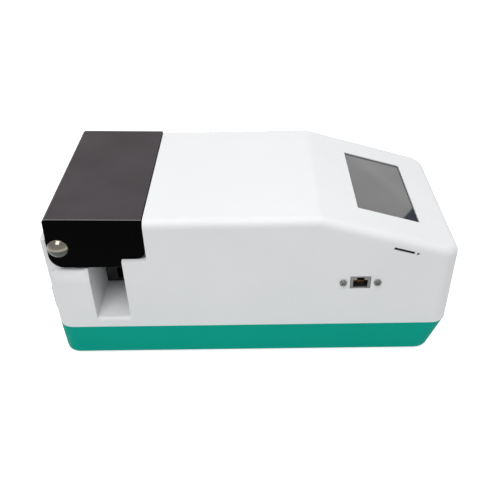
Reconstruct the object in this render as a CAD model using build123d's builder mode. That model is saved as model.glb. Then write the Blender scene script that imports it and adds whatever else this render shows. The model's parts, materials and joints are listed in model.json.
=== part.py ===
from build123d import *
import math
import os

os.makedirs("parts", exist_ok=True)

# Body, heights counted from the underside of the base
foot_height = 3.0
foot_radius = 9.0
foot_stem_radius = 2.5
base_height = 30.0
roll_headroom = 21.0
end_headroom = 7.5
bend_radius = 10.0
corner_radius = 14.0
top_edge_radius = 7.0
wall = 3.0
base_undercut_right = 11.5
base_undercut_left = 1.3
base_edge_radius = 2.0

# Clearances
gap = 0.3
running_gap = 0.05
sliding_gap = 0.5

# Shoulder and ledge under the lid
shelf_height = 90.3
shoulder_radius = 12.0
ledge_height = 99.5
ledge_depth = 14.0
end_wall_height = 117.0
end_wall_thickness = 5.4
end_wall_edge_radius = 2.4
end_wall_inset = 6.5

# Side notch
notch_from_left = 36.2
notch_width = 28.4
notch_depth = 50.5
notch_floor_height = 39.5
notch_lip_radius = 3.0

# Lid
lid_from_left = 6.0
lid_setback = 2.9
lid_sheet = 3.0
lid_rise_left = 2.6
lid_rise_right = 0.8
lid_curl_radius = 3.5
lid_end_lip = 3.0
seam_gap = 0.6
flap_height_low = 91.5
flap_height_high = 100.0
flap_step_from_left = 64.2
flap_radius_left = 12.0
flap_radius_right = 8.0
pivot_from_left = 15.8
pivot_height = 110.8
pivot_cap_radius = 8.5
pivot_cap_height = 5.0
pivot_journal_radius = 4.0
pivot_thread_radius = 2.5
cheek_thickness = 3.5
cheek_radius = 9.0

# Film roll and its cradle
film_inset = 3.74
film_thickness = 0.3
film_below_spool = 17.0
roll_gap_left = 3.8
roll_gap_below = 6.5
roll_radius = 33.0
core_radius = 17.0
core_bore = 13.0
flange_radius = 24.0
flange_thickness = 2.0
hub_length = 14.0
spindle_radius = 4.0
cradle_sheet = 2.0
cradle_height = 40.5
upright_width = 12.0
idler_radius = 5.0
idler_from_roll = 0.9
idler_from_seam = 11.0
ear_width = 10.0

# Film feed and cutter
feed_from_seam = 22.0
feed_radius = 9.0
pinch_radius = 7.0
nip_gap = 0.7
journal_radius = 3.0
feed_gear_teeth = 24
feed_pinion_teeth = 12
gear_module = 1.0
gear_width = 5.0
gear_backlash = 0.45
feed_plate_thickness = 2.0
cutter_from_seam = 50.0
blade_thickness = 0.8
blade_travel = 5.0

# Plate drawer
plate_length = 127.76
plate_width = 85.48
plate_clearance = 0.8
plate_height = 14.35
plate_reach = 4.24
drawer_thickness = 9.0
nest_depth = 3.0
drawer_rim = 3.0
drawer_front_thickness = 3.0
drawer_front_overhang = 4.86
drawer_front_below_platen = 4.0
runner_height = 6.0
runner_width = 4.5
rack_width = 6.0
rack_height = 6.0
rack_above_motor = 1.5
drawer_pinion_teeth = 18
small_motor_size = 35.0
small_motor_depth = 26.0

# Heated press
platen_thickness = 10.0
platen_travel = 14.0
platen_inset = 1.88
squeeze_gap = 0.65
press_from_cutter = 51.12
rack_thickness = 5.0
rack_from_platen = 2.0
insulation_thickness = 4.0
press_frame_thickness = 4.0
post_radius = 2.5
post_ear_radius = 4.8
post_from_end = 26.0
post_from_tray = 9.2
post_gap = 0.36
post_stub = 4.0
bearing_sheet = 4.0
bearing_from_tray = 12.0
motor_size = 42.0
motor_depth = 28.0
motor_gap = 2.36
press_pinion_teeth = 16
press_shaft_radius = 4.0

# Screen, socket and card slot
screen_from_bend = 34.0
screen_to_end = 29.48
screen_length = 53.9
screen_width = 95.0
screen_recess = 1.2
glass_margin = 5.5
glass_thickness = 1.5
jack_from_right = 78.0
jack_height = 74.8
jack_opening_width = 16.8
jack_opening_height = 12.4
jack_screw_spacing = 27.8
jack_screw_radius = 1.5
slot_from_bend = 72.3
slot_depth_below_top = 9.8
slot_length = 17.5
slot_width = 2.5
pinhole_from_bend = 83.8
pinhole_radius = 1.2

# Power entry and fan
inlet_from_front = 25.5
inlet_height = 55.0
inlet_width = 27.0
inlet_tall = 20.0
inlet_depth = 17.0
inlet_margin = 2.0
flange_recess = 1.6
switch_above_inlet = 4.5
switch_width = 19.0
switch_tall = 13.0
fan_from_seam = 77.1
fan_below_top = 29.0
fan_size = 40.0
fan_depth = 10.0
fan_bore_radius = 18.6

# Chassis and boards
chassis_thickness = 1.5
board_thickness = 1.6

# Overall sizes that follow from what the body holds
nest_length = plate_length + plate_clearance
nest_width = plate_width + plate_clearance
tray_width = nest_width + 2 * drawer_rim
platen_length = plate_length - 2 * platen_inset
post_from_nest = platen_length / 2 - post_from_end
film_width = plate_width - 2 * film_inset
drawer_travel = plate_length + plate_reach
drawer_height = wall + chassis_thickness + small_motor_depth + rack_above_motor + rack_height
plate_floor_height = drawer_height + drawer_thickness - nest_depth
platen_rest_height = plate_floor_height + plate_height + squeeze_gap + platen_travel
post_height = platen_rest_height + platen_thickness + insulation_thickness + press_frame_thickness + post_stub
end_height = post_height + end_headroom
spool_height = cradle_height + cradle_sheet + roll_gap_below + roll_radius
film_height = spool_height - film_below_spool
body_height = spool_height + roll_radius + roll_headroom
seam_from_left = wall + roll_gap_left + 2 * roll_radius + idler_from_roll + idler_from_seam
lid_length = seam_from_left - seam_gap - lid_from_left
nest_from_press = gear_module * press_pinion_teeth / 2 + rack_thickness + rack_from_platen + platen_length / 2
right_from_nest = nest_length / 2 + drawer_rim + sliding_gap + wall
length = seam_from_left + cutter_from_seam + press_from_cutter + nest_from_press + right_from_nest
drive_room = bearing_from_tray + bearing_sheet + motor_depth + motor_gap
post_room = post_from_tray + post_ear_radius + post_gap
width = wall + drive_room + tray_width + post_room + wall
slope_length = screen_from_bend + screen_length + screen_to_end

# Places that follow from the sizes
x_left = -length / 2
x_right = length / 2
y_front = -width / 2
y_back = width / 2
z_base = foot_height
z_joint = z_base + base_height
z_top = z_base + body_height
z_end = z_base + end_height
slope = math.asin((z_top - z_end) / slope_length)
x_bend = x_right - slope_length * math.cos(slope)
film_centre = y_back - wall - post_room - tray_width / 2
z_shelf = z_base + shelf_height
z_ledge = z_base + ledge_height
z_end_wall = z_base + end_wall_height
x_notch = x_left + notch_from_left
x_notch_end = x_notch + notch_width
y_notch = y_front + notch_depth
z_notch = z_base + notch_floor_height
x_lid = x_left + lid_from_left
x_lid_end = x_lid + lid_length
x_seam = x_lid_end + seam_gap
y_flap = width / 2 - lid_setback
x_pivot = x_left + pivot_from_left
z_pivot = z_base + pivot_height
z_floor = z_base + wall
z_chassis = z_floor + chassis_thickness
y_film_near = film_centre - film_width / 2
y_film_far = film_centre + film_width / 2
z_film = z_base + film_height
x_spool = x_left + wall + roll_gap_left + roll_radius
z_spool = z_base + spool_height

slope_top = Plane(
    origin=(x_bend, 0, z_top),
    x_dir=(math.cos(slope), 0, -math.sin(slope)),
    z_dir=(math.sin(slope), 0, math.cos(slope)),
)
slope_front = Plane(
    origin=(x_bend, y_front, z_top),
    x_dir=(math.cos(slope), 0, -math.sin(slope)),
    z_dir=(0, -1, 0),
)


def keep(piece, name):
    """Label a finished piece and write it as its own file."""
    piece.label = name
    export_step(piece, f"parts/{name}.step")


def side_plane(y):
    """A plane that faces the front at depth y, with X to the right and Z up."""
    return Plane.XZ.offset(-y)


def end_plane(x):
    """A plane that faces the right end at x, with Y to the right and Z up."""
    return Plane.YZ.offset(x)


def tall_block(inset, bottom):
    """The body right of the lid seam, with its slope and rounded edges, moved inwards by inset."""
    drop = inset / math.cos(slope)
    left = x_seam + inset
    right = x_right - inset
    top = z_top - inset
    end = z_end + inset * math.tan(slope) - drop
    bend = x_right - (top - z_end + drop) / math.tan(slope)
    with BuildPart(mode=Mode.PRIVATE) as block:
        with BuildSketch(Plane.XZ):
            with BuildLine():
                Polyline((left, bottom), (right, bottom), (right, end), (bend, top), (left, top), close=True)
            make_face()
            corner = vertices().sort_by_distance((bend, top, 0))[0]
            fillet(corner, bend_radius)
        extrude(amount=width / 2 - inset, both=True)
        uprights = edges().filter_by(Axis.Z).group_by(Axis.X)[-1]
        fillet(uprights, corner_radius - inset)
        rim = [
            edge
            for edge in edges()
            if edge.center().Z > bottom + 1
            and edge.center().X > left + 1
            and abs(edge.tangent_at(0.5).Z) < 0.9
            and not (abs(edge.tangent_at(0.5).Y) > 0.99 and edge.center().X < right - 1)
        ]
        fillet(rim, top_edge_radius - inset)
    return block.part


def low_block(inset, bottom, right):
    """The body under the lid, with its rounded shoulder, moved inwards by inset."""
    with BuildPart(mode=Mode.PRIVATE) as block:
        with BuildSketch(Plane.XY.offset(bottom)) as plan:
            with Locations(((x_left + inset + right) / 2, 0)):
                Rectangle(right - x_left - inset, width - 2 * inset)
            fillet(plan.vertices().group_by(Axis.X)[0], corner_radius - inset)
        extrude(amount=z_shelf - inset - bottom)
        rim = [
            edge
            for edge in edges().group_by(Axis.Z)[-1]
            if edge.center().X < right - 1
        ]
        fillet(rim, shoulder_radius - inset)
    return block.part


def gear_outline(teeth, bore):
    """Sketch of a spur gear with straight-flanked teeth, the first tooth on +X."""
    pitch_radius = gear_module * teeth / 2
    half = gear_module * math.pi / 4 - gear_backlash / 2
    lean = math.tan(math.radians(20))
    addendum = 0.9 * gear_module
    dedendum = 1.2 * gear_module
    root = pitch_radius - dedendum
    with BuildSketch(mode=Mode.PRIVATE) as outline:
        Circle(root + 0.2 * gear_module)
        with PolarLocations(0, teeth):
            Polygon(
                (root, -half - dedendum * lean),
                (pitch_radius + addendum, -half + addendum * lean),
                (pitch_radius + addendum, half - addendum * lean),
                (root, half + dedendum * lean),
                align=None,
            )
        Circle(bore, mode=Mode.SUBTRACT)
    return outline.sketch


def stepper(size, depth, shaft_hole):
    """Stepper motor body: its mounting face lies on XY and the body hangs below it."""
    with BuildPart(mode=Mode.PRIVATE) as motor:
        with BuildSketch():
            Rectangle(size, size)
            chamfer(vertices(), size * 0.1)
        extrude(amount=-depth * 0.25)
        with BuildSketch(Plane.XY.offset(-depth * 0.25)):
            Rectangle(size * 0.97, size * 0.97)
            chamfer(vertices(), size * 0.14)
        extrude(amount=-depth * 0.5)
        with BuildSketch(Plane.XY.offset(-depth * 0.75)):
            Rectangle(size, size)
            chamfer(vertices(), size * 0.1)
        extrude(amount=-depth * 0.25)
        with BuildSketch():
            Circle(shaft_hole)
        extrude(amount=-8, mode=Mode.SUBTRACT)
    return motor.part




def rack_outline(start, end, mesh, tooth_at_mesh, back):
    """Sketch of a rack along +X from start to end, pitch line on y = 0, teeth towards +y."""
    pitch = math.pi * gear_module
    first = mesh if tooth_at_mesh else mesh + pitch / 2
    steps_left = int((first - start - pitch / 2) / pitch)
    steps_right = int((end - first - pitch / 2) / pitch)
    centres = [(first + step * pitch, 0) for step in range(-steps_left, steps_right + 1)]
    half = pitch / 4 - gear_backlash / 2
    lean = math.tan(math.radians(20))
    addendum = 0.9 * gear_module
    dedendum = 1.2 * gear_module
    with BuildSketch(mode=Mode.PRIVATE) as outline:
        with Locations(((start + end) / 2, -(back + dedendum) / 2)):
            Rectangle(end - start, back - dedendum)
        with Locations(*centres):
            Polygon(
                (-half - dedendum * lean, -dedendum - 0.2),
                (-half + addendum * lean, addendum),
                (half - addendum * lean, addendum),
                (half + dedendum * lean, -dedendum - 0.2),
                align=None,
            )
    return outline.sketch


def roller(x, z, radius, y_near, y_far, journal, end_near, end_far):
    """A roller along Y with a journal at each end and a small chamfer on its face edges."""
    with BuildPart(mode=Mode.PRIVATE) as turned:
        with BuildSketch(side_plane(y_far)):
            with Locations((x, z)):
                Circle(radius)
        extrude(amount=y_far - y_near)
        chamfer(edges(), 0.5)
        with BuildSketch(side_plane(end_far)):
            with Locations((x, z)):
                Circle(journal)
        extrude(amount=end_far - end_near)
    return turned.part


# Base tray
boss_radius = 6.0
boss_inset = 8.5
boss_height = 7.5
screw_radius = 2.0
screw_head_radius = 3.6
screw_head_height = 2.4
screw_recess = 12.0
left_boss_inset = 9.5
right_boss_inset = 24.0
lip_thickness = 1.6
lip_height = 4.0
lip_root = 5.0
vent_length = 26.0
vent_width = 2.6
vent_pitch = 8.0
boss_places = [
    (x, y)
    for x in (x_left + left_boss_inset, x_right - right_boss_inset)
    for y in (y_front + boss_inset, y_back - boss_inset)
]
foot_from_left = 38.8
foot_from_right = 44.8
foot_from_side = 21.5
foot_places = [
    (x, y)
    for x in (x_left + foot_from_left, x_right - foot_from_right)
    for y in (y_front + foot_from_side, y_back - foot_from_side)
]
lip_inset = wall + gap
root_width = lip_thickness + gap + 0.5
lip_runs = (
    (x_left + left_boss_inset + boss_radius + 1, x_seam - 1),
    (x_seam + wall + 1, x_right - right_boss_inset - boss_radius - 1),
)
with BuildPart() as tray_hollow:
    with BuildSketch(Plane.XZ):
        with BuildLine():
            Polyline(
                (x_left + base_undercut_left + wall, z_floor),
                (x_right - base_undercut_right - wall, z_floor),
                (x_right - wall, z_joint + 1),
                (x_left + wall, z_joint + 1),
                close=True,
            )
        make_face()
    extrude(amount=width / 2 - wall, both=True)
    leaning = [edge for edge in edges() if abs(edge.tangent_at(0.5).Z) > 0.5]
    fillet(leaning, corner_radius - wall)

with BuildPart() as base_tray:
    with BuildSketch(Plane.XZ):
        with BuildLine():
            Polyline(
                (x_left + base_undercut_left, z_base),
                (x_right - base_undercut_right, z_base),
                (x_right, z_joint),
                (x_left, z_joint),
                close=True,
            )
        make_face()
    extrude(amount=width / 2, both=True)
    leaning = [edge for edge in edges() if abs(edge.tangent_at(0.5).Z) > 0.5]
    fillet(leaning, corner_radius)
    fillet(faces().sort_by(Axis.Z)[0].outer_wire().edges(), base_edge_radius)
    add(tray_hollow.part, mode=Mode.SUBTRACT)
    with BuildSketch(Plane.XY.offset(z_floor)):
        with Locations(*boss_places):
            Circle(boss_radius)
    extrude(amount=z_joint - z_floor)
    for run_start, run_end in lip_runs:
        for side in (-1, 1):
            with BuildSketch(Plane.XY.offset(z_joint - lip_root)):
                with Locations(((run_start + run_end) / 2, side * (width / 2 - wall + 0.5 - root_width / 2))):
                    Rectangle(run_end - run_start, root_width)
            extrude(amount=lip_root)
            with BuildSketch(Plane.XY.offset(z_joint - 1)):
                with Locations(((run_start + run_end) / 2, side * (width / 2 - lip_inset - lip_thickness / 2))):
                    Rectangle(run_end - run_start, lip_thickness)
            extrude(amount=lip_height + 1)
    with BuildSketch(Plane.XY.offset(z_base)):
        with Locations(*boss_places):
            Circle(screw_head_radius)
    extrude(amount=screw_recess, mode=Mode.SUBTRACT)
    with BuildSketch(Plane.XY.offset(z_base)):
        with Locations(*boss_places):
            Circle(screw_radius + gap)
    extrude(amount=base_height + 1, mode=Mode.SUBTRACT)
    with BuildSketch(Plane.XY.offset(z_base)):
        with Locations(*foot_places):
            Circle(foot_stem_radius + running_gap)
        with GridLocations(vent_pitch, 60, 9, 2):
            SlotOverall(vent_length, vent_width, rotation=90)
    extrude(amount=wall, mode=Mode.SUBTRACT)
keep(base_tray.part, "base_tray")

with BuildPart() as rubber_feet:
    with BuildSketch():
        with Locations(*foot_places):
            Circle(foot_radius)
    extrude(amount=foot_height)
    chamfer(edges().group_by(Axis.Z)[0], 1.0)
    with BuildSketch(Plane.XY.offset(foot_height)):
        with Locations(*foot_places):
            Circle(foot_stem_radius)
    extrude(amount=wall)
keep(rubber_feet.part, "rubber_feet")

screw_engagement = 6.0
with BuildPart() as housing_screws:
    with BuildSketch(Plane.XY.offset(z_base + screw_recess - screw_head_height)):
        with Locations(*boss_places):
            Circle(screw_head_radius - gap)
    extrude(amount=screw_head_height)
    chamfer(edges().group_by(Axis.Z)[0], 0.6)
    with BuildSketch(Plane.XY.offset(z_base + screw_recess)):
        with Locations(*boss_places):
            Circle(screw_radius)
    extrude(amount=z_joint + screw_engagement - z_base - screw_recess)
keep(housing_screws.part, "housing_screws")

# Upper housing
bay_edge = 5.5
back_ledge_depth = 10.0
bay_front = y_notch
bay_back = y_back - back_ledge_depth
slot_clearance = 2.0
drawer_centre = film_centre
z_drawer_front = z_joint + sliding_gap
x_wall_inner = x_right - wall
board_boss_radius = 3.5
board_length = 88.0
board_tall = 60.0
board_from_right = 16.8
board_from_joint = 5.0
board_from_front = 17.5
board_right = x_right - board_from_right
board_left = board_right - board_length
board_low = z_joint + board_from_joint
board_high = board_low + board_tall
board_inset = 4.0
y_board = y_front + board_from_front
x_jack = x_right - jack_from_right
z_jack = z_base + jack_height
z_inlet = z_base + inlet_height
z_switch = z_inlet + inlet_tall / 2 + inlet_margin + switch_above_inlet + (switch_tall + inlet_margin) / 2
inlet_y = y_front + inlet_from_front
x_fan = x_seam + fan_from_seam
z_fan = z_top - fan_below_top
drawer_front_width = tray_width + 2 * drawer_front_overhang
drawer_front_height = z_base + platen_rest_height - drawer_front_below_platen - z_drawer_front
board_places = [(x, z) for x in (board_left + board_inset, board_right - board_inset)
                for z in (board_low + board_inset, board_high - board_inset)]
screen_centre = screen_from_bend + screen_length / 2
with BuildPart() as end_wall:
    with BuildSketch(Plane.XY.offset(z_shelf - shoulder_radius)) as end_wall_plan:
        with Locations((x_left + corner_radius, 0)):
            Rectangle(2 * corner_radius, width)
        fillet(end_wall_plan.vertices().group_by(Axis.X)[0], corner_radius)
        with Locations((x_left + end_wall_thickness / 2, 0)):
            Rectangle(end_wall_thickness, width - 2 * end_wall_inset, mode=Mode.INTERSECT)
    extrude(amount=z_end_wall - z_shelf + shoulder_radius)
    rim = edges().group_by(Axis.Z)[-1]
    fillet([edge for edge in rim if edge.center().X < x_left + 2], end_wall_edge_radius)

with BuildPart() as upper_housing:
    add(tall_block(0, z_joint))
    add(low_block(0, z_joint, x_seam + wall))
    with BuildSketch(Plane.XY.offset(z_shelf - shoulder_radius)):
        with Locations(((x_notch_end + x_seam + wall) / 2, y_front + ledge_depth / 2)):
            Rectangle(x_seam + wall - x_notch_end, ledge_depth)
        with Locations(((x_notch_end + x_seam + wall) / 2, y_back - back_ledge_depth / 2)):
            Rectangle(x_seam + wall - x_notch_end, back_ledge_depth)
    extrude(amount=z_ledge - z_shelf + shoulder_radius)
    add(end_wall.part)
    add(tall_block(wall, z_joint - 1), mode=Mode.SUBTRACT)
    add(low_block(wall, z_joint - 1, x_seam), mode=Mode.SUBTRACT)
    # Walls of the side notch and of the film bay
    with BuildSketch(Plane.XY.offset(z_notch - wall)):
        with Locations(((x_notch + x_notch_end) / 2, (y_front + 1 + y_notch) / 2)):
            Rectangle(notch_width + 2 * wall, notch_depth - 1)
    extrude(amount=z_shelf - z_notch + wall)
    with BuildSketch(Plane.XY.offset(z_joint)):
        with Locations(((x_left + 1 + x_notch) / 2, bay_front - wall / 2)):
            Rectangle(x_notch - x_left - 1, wall)
        with Locations(((x_notch_end + x_seam + 1) / 2, bay_front - wall / 2)):
            Rectangle(x_seam + 1 - x_notch_end, wall)
    extrude(amount=z_shelf - z_joint - 1)
    # Cheeks that carry the lid
    for side in (-1, 1):
        cheek_face = side * (width / 2 - end_wall_inset)
        with BuildSketch(side_plane(max(cheek_face, cheek_face - side * cheek_thickness))):
            with Locations((x_pivot, z_pivot)):
                Circle(cheek_radius)
            with Locations(((x_left + wall + x_pivot + cheek_radius) / 2, (z_shelf - wall + z_pivot) / 2)):
                Rectangle(x_pivot + cheek_radius - x_left - wall, z_pivot - z_shelf + wall)
        extrude(amount=cheek_thickness)
    # Openings in the top and the seam wall
    with BuildSketch(Plane.XY.offset(z_shelf - shoulder_radius)):
        with Locations(((x_left + bay_edge + x_seam) / 2, (bay_front + bay_back) / 2)):
            Rectangle(x_seam - x_left - bay_edge, bay_back - bay_front)
    extrude(amount=shoulder_radius + 1, mode=Mode.SUBTRACT)
    with BuildSketch(Plane.XY.offset(z_notch)):
        with Locations(((x_notch + x_notch_end) / 2, (y_front - 1 + y_notch + wall) / 2)):
            Rectangle(notch_width, notch_depth + wall + 1)
    extrude(amount=z_ledge, mode=Mode.SUBTRACT)
    lip = edges().filter_by(Axis.X).filter_by_position(Axis.Z, z_notch - 0.01, z_notch + 0.01)
    fillet(lip.sort_by(Axis.Y)[0], notch_lip_radius)
    with BuildSketch(end_plane(x_seam)):
        with Locations((film_centre, z_film)):
            RectangleRounded(film_width + 2 * slot_clearance, 2 * slot_clearance + 4, slot_clearance)
    extrude(amount=wall, mode=Mode.SUBTRACT)
    # Screw bosses over the corners of the tray and board bosses behind the front wall
    with BuildSketch(Plane.XY.offset(z_joint)):
        with Locations(*boss_places):
            Circle(boss_radius)
    extrude(amount=boss_height)
    with BuildSketch(Plane.XY.offset(z_joint)):
        with Locations(*boss_places):
            Circle(screw_radius + running_gap)
    extrude(amount=screw_engagement + 1, mode=Mode.SUBTRACT)
    with BuildSketch(side_plane(y_board)):
        with Locations(*board_places):
            Circle(board_boss_radius)
    extrude(amount=y_board - y_front - 1)
    # Plate door in the right end
    with BuildSketch(end_plane(x_wall_inner - 1)):
        with Locations((drawer_centre, z_joint + (drawer_front_height + 2 * sliding_gap) / 2 - 1)):
            Rectangle(drawer_front_width + 2 * sliding_gap, drawer_front_height + 2 * sliding_gap + 2)
    extrude(amount=wall + 2, mode=Mode.SUBTRACT)
    # Screen window with its glass pocket
    with BuildSketch(slope_top):
        with Locations((screen_centre, 0)):
            Rectangle(screen_length, screen_width)
    extrude(amount=-2 * wall, mode=Mode.SUBTRACT)
    with BuildSketch(slope_top.offset(-screen_recess)):
        with Locations((screen_centre, 0)):
            Rectangle(screen_length + 2 * glass_margin + gap, screen_width + 2 * glass_margin + gap)
    extrude(amount=-2 * wall, mode=Mode.SUBTRACT)
    # Socket, its screws, the card slot and the reset hole in the front
    with BuildSketch(side_plane(y_front + 2 * wall)):
        with Locations((x_jack, z_jack)):
            Rectangle(jack_opening_width, jack_opening_height)
        with Locations((x_jack - jack_screw_spacing / 2, z_jack), (x_jack + jack_screw_spacing / 2, z_jack)):
            Circle(jack_screw_radius + running_gap)
    extrude(amount=2 * wall + 1, mode=Mode.SUBTRACT)
    with BuildSketch(slope_front.offset(1)):
        with Locations((slot_from_bend, -slot_depth_below_top)):
            Rectangle(slot_length, slot_width)
        with Locations((pinhole_from_bend, -slot_depth_below_top)):
            Circle(pinhole_radius)
    extrude(amount=-2 * wall, mode=Mode.SUBTRACT)
    # Mains inlet and switch in the left end
    with BuildSketch(end_plane(x_left)):
        with Locations((inlet_y, z_inlet)):
            Rectangle(inlet_width + 2 * inlet_margin, inlet_tall + 2 * inlet_margin)
        with Locations((inlet_y, z_switch)):
            Rectangle(switch_width + inlet_margin, switch_tall + inlet_margin)
    extrude(amount=flange_recess, mode=Mode.SUBTRACT)
    with BuildSketch(end_plane(x_left)):
        with Locations((inlet_y, z_inlet)):
            Rectangle(inlet_width, inlet_tall)
        with Locations((inlet_y, z_switch)):
            Rectangle(switch_width, switch_tall)
    extrude(amount=3 * wall + 1, mode=Mode.SUBTRACT)
    # Fan slots in the back
    with BuildSketch(side_plane(y_back + 1)):
        with Locations((x_fan, z_fan)):
            Circle(fan_bore_radius - 1)
            with GridLocations(2 * fan_bore_radius, 6, 1, 6):
                Rectangle(2 * fan_bore_radius, 3, mode=Mode.SUBTRACT)
    extrude(amount=2 * wall, mode=Mode.SUBTRACT)
    # Bores for the lid pivot screws
    with BuildSketch(side_plane(width / 2)):
        with Locations((x_pivot, z_pivot)):
            Circle(pivot_thread_radius + running_gap)
    extrude(amount=width, mode=Mode.SUBTRACT)
keep(upper_housing.part, "upper_housing")

# Film lid
flap_thickness = lid_sheet
lid_lean = 1.8
lid_edge_radius = 1.0
z_lid_left = z_top + lid_rise_left
z_lid_right = z_top + lid_rise_right
z_flap_low = z_base + flap_height_low
z_flap_high = z_base + flap_height_high
x_flap_step = x_left + flap_step_from_left


with BuildPart() as film_lid:
    with BuildSketch(side_plane(y_flap)) as lid_profile:
        with BuildLine():
            Polyline(
                (x_lid, z_flap_low),
                (x_flap_step, z_flap_low),
                (x_flap_step, z_flap_high),
                (x_lid_end, z_flap_high),
                (x_lid_end, z_lid_right),
                (x_lid + lid_lean, z_lid_left),
                close=True,
            )
        make_face()
        fillet(lid_profile.vertices().sort_by_distance((x_lid, z_flap_low, 0))[0], flap_radius_left)
        fillet(lid_profile.vertices().sort_by_distance((x_lid, z_lid_left, 0))[0], lid_curl_radius)
        fillet(lid_profile.vertices().sort_by_distance((x_lid_end, z_flap_high, 0))[0], flap_radius_right)
    extrude(amount=2 * y_flap)
    hollow_top_left = z_lid_left - lid_sheet
    hollow_top_right = z_lid_right - lid_sheet
    with BuildSketch(side_plane(y_flap - flap_thickness)):
        with BuildLine():
            Polyline(
                (x_lid - 1, z_flap_low - 1),
                (x_lid_end + 1, z_flap_low - 1),
                (x_lid_end + 1, hollow_top_right),
                (x_lid + lid_end_lip + lid_lean, hollow_top_left),
                (x_lid + lid_end_lip + lid_lean, hollow_top_left - lid_end_lip),
                (x_lid - 1, hollow_top_left - lid_end_lip),
                close=True,
            )
        make_face()
    extrude(amount=2 * (y_flap - flap_thickness), mode=Mode.SUBTRACT)
    top_rim = [
        edge
        for edge in edges()
        if edge.center().Z > z_top and abs(abs(edge.center().Y) - y_flap) < 0.1
    ]
    fillet(top_rim, lid_edge_radius)
    with BuildSketch(side_plane(width / 2)):
        with Locations((x_pivot, z_pivot)):
            Circle(pivot_journal_radius + running_gap)
    extrude(amount=width, mode=Mode.SUBTRACT)
keep(film_lid.part, "film_lid")

# Domed shoulder screws that the lid turns on
cheek_outer = width / 2 - end_wall_inset
cap_back = y_flap + gap
cap_sphere = (pivot_cap_radius**2 + pivot_cap_height**2) / (2 * pivot_cap_height)
with BuildPart() as one_pivot_screw:
    with BuildSketch(Plane.XY) as screw_section:
        with BuildLine():
            Polyline((0, cheek_outer - cheek_thickness), (pivot_thread_radius, cheek_outer - cheek_thickness),
                     (pivot_thread_radius, cheek_outer), (pivot_journal_radius, cheek_outer),
                     (pivot_journal_radius, cap_back), (pivot_cap_radius, cap_back))
            RadiusArc((pivot_cap_radius, cap_back), (0, cap_back + pivot_cap_height), -cap_sphere)
            Line((0, cap_back + pivot_cap_height), (0, cheek_outer - cheek_thickness))
        make_face()
    revolve(axis=Axis.Y)
with BuildPart() as lid_pivot_screws:
    add(Pos(x_pivot, 0, z_pivot) * one_pivot_screw.part)
    mirror(about=Plane.XZ)
keep(lid_pivot_screws.part, "lid_pivot_screws")

# Chassis plate on the tray floor
plate_margin_left = 8.8
plate_margin_right = 18.8
plate_margin_side = 7.5
with BuildPart() as chassis_plate:
    with BuildSketch(Plane.XY.offset(z_floor)):
        with Locations(((plate_margin_left - plate_margin_right) / 2, 0)):
            Rectangle(length - plate_margin_left - plate_margin_right, width - 2 * plate_margin_side)
        with Locations(*boss_places):
            Circle(boss_radius + 1, mode=Mode.SUBTRACT)
        with Locations(*foot_places):
            Circle(foot_stem_radius + 1, mode=Mode.SUBTRACT)
    extrude(amount=chassis_thickness)
keep(chassis_plate.part, "chassis_plate")

# Cradle that holds the film spool and the idler
cradle_left = x_left + 8.8
cradle_low = z_base + cradle_height
cradle_top = cradle_low + cradle_sheet
flange_face = 1.6
y_cradle_near = y_film_near - flange_thickness - flange_face - cradle_sheet
y_cradle_far = y_film_far + flange_thickness + flange_face + cradle_sheet
x_idler = x_seam - idler_from_seam
cradle_right = x_idler + ear_width / 2
cradle_length = cradle_right - cradle_left
z_idler = z_film - film_thickness / 2 - gap - idler_radius
idler_journal_radius = 2.0
standoff_radius = 4.0
standoff_inset = 8.0
standoff_places = [
    (x, y)
    for x in (cradle_left + standoff_inset, cradle_right - standoff_inset)
    for y in (y_cradle_near + standoff_inset, y_cradle_far - standoff_inset)
]
with BuildPart() as roll_cradle:
    with BuildSketch(Plane.XY.offset(cradle_low)):
        with Locations(((cradle_left + cradle_right) / 2, (y_cradle_near + y_cradle_far) / 2)):
            RectangleRounded(cradle_length, y_cradle_far - y_cradle_near, 3)
        with Locations(*standoff_places):
            Circle(2.0, mode=Mode.SUBTRACT)
    extrude(amount=cradle_sheet)
    for face_y in (y_cradle_near + cradle_sheet, y_cradle_far):
        with BuildSketch(side_plane(face_y)) as ears:
            with Locations((x_spool, (cradle_low + z_spool + spindle_radius) / 2)):
                Rectangle(upright_width, z_spool + spindle_radius - cradle_low)
            with Locations((x_idler, (cradle_low + z_idler) / 2)):
                Rectangle(ear_width, z_idler - cradle_low)
            with Locations((x_idler, z_idler)):
                Circle(ear_width / 2)
            with Locations((x_spool, z_spool)):
                Circle(spindle_radius + running_gap, mode=Mode.SUBTRACT)
            with Locations((x_spool, z_spool + spindle_radius)):
                Rectangle(2 * (spindle_radius + running_gap), 2 * spindle_radius, mode=Mode.SUBTRACT)
            with Locations((x_idler, z_idler)):
                Circle(idler_journal_radius + running_gap, mode=Mode.SUBTRACT)
        extrude(amount=cradle_sheet)
keep(roll_cradle.part, "roll_cradle")

with BuildPart() as cradle_standoffs:
    with BuildSketch(Plane.XY.offset(z_chassis)):
        with Locations(*standoff_places):
            RegularPolygon(standoff_radius, 6)
    extrude(amount=cradle_low - z_chassis)
keep(cradle_standoffs.part, "cradle_standoffs")

# Film roll on its core
with BuildPart() as film_core:
    with BuildSketch(side_plane(y_film_far)):
        with Locations((x_spool, z_spool)):
            Circle(core_radius)
            Circle(core_bore, mode=Mode.SUBTRACT)
    extrude(amount=film_width)
keep(film_core.part, "film_core")

with BuildPart() as film_roll:
    with BuildSketch(side_plane(y_film_far)):
        with Locations((x_spool, z_spool)):
            Circle(roll_radius)
            Circle(core_radius + running_gap, mode=Mode.SUBTRACT)
    extrude(amount=film_width)
    chamfer(edges().filter_by(GeomType.CIRCLE).group_by(SortBy.RADIUS)[-1], 0.4)
keep(film_roll.part, "film_roll")

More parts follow.
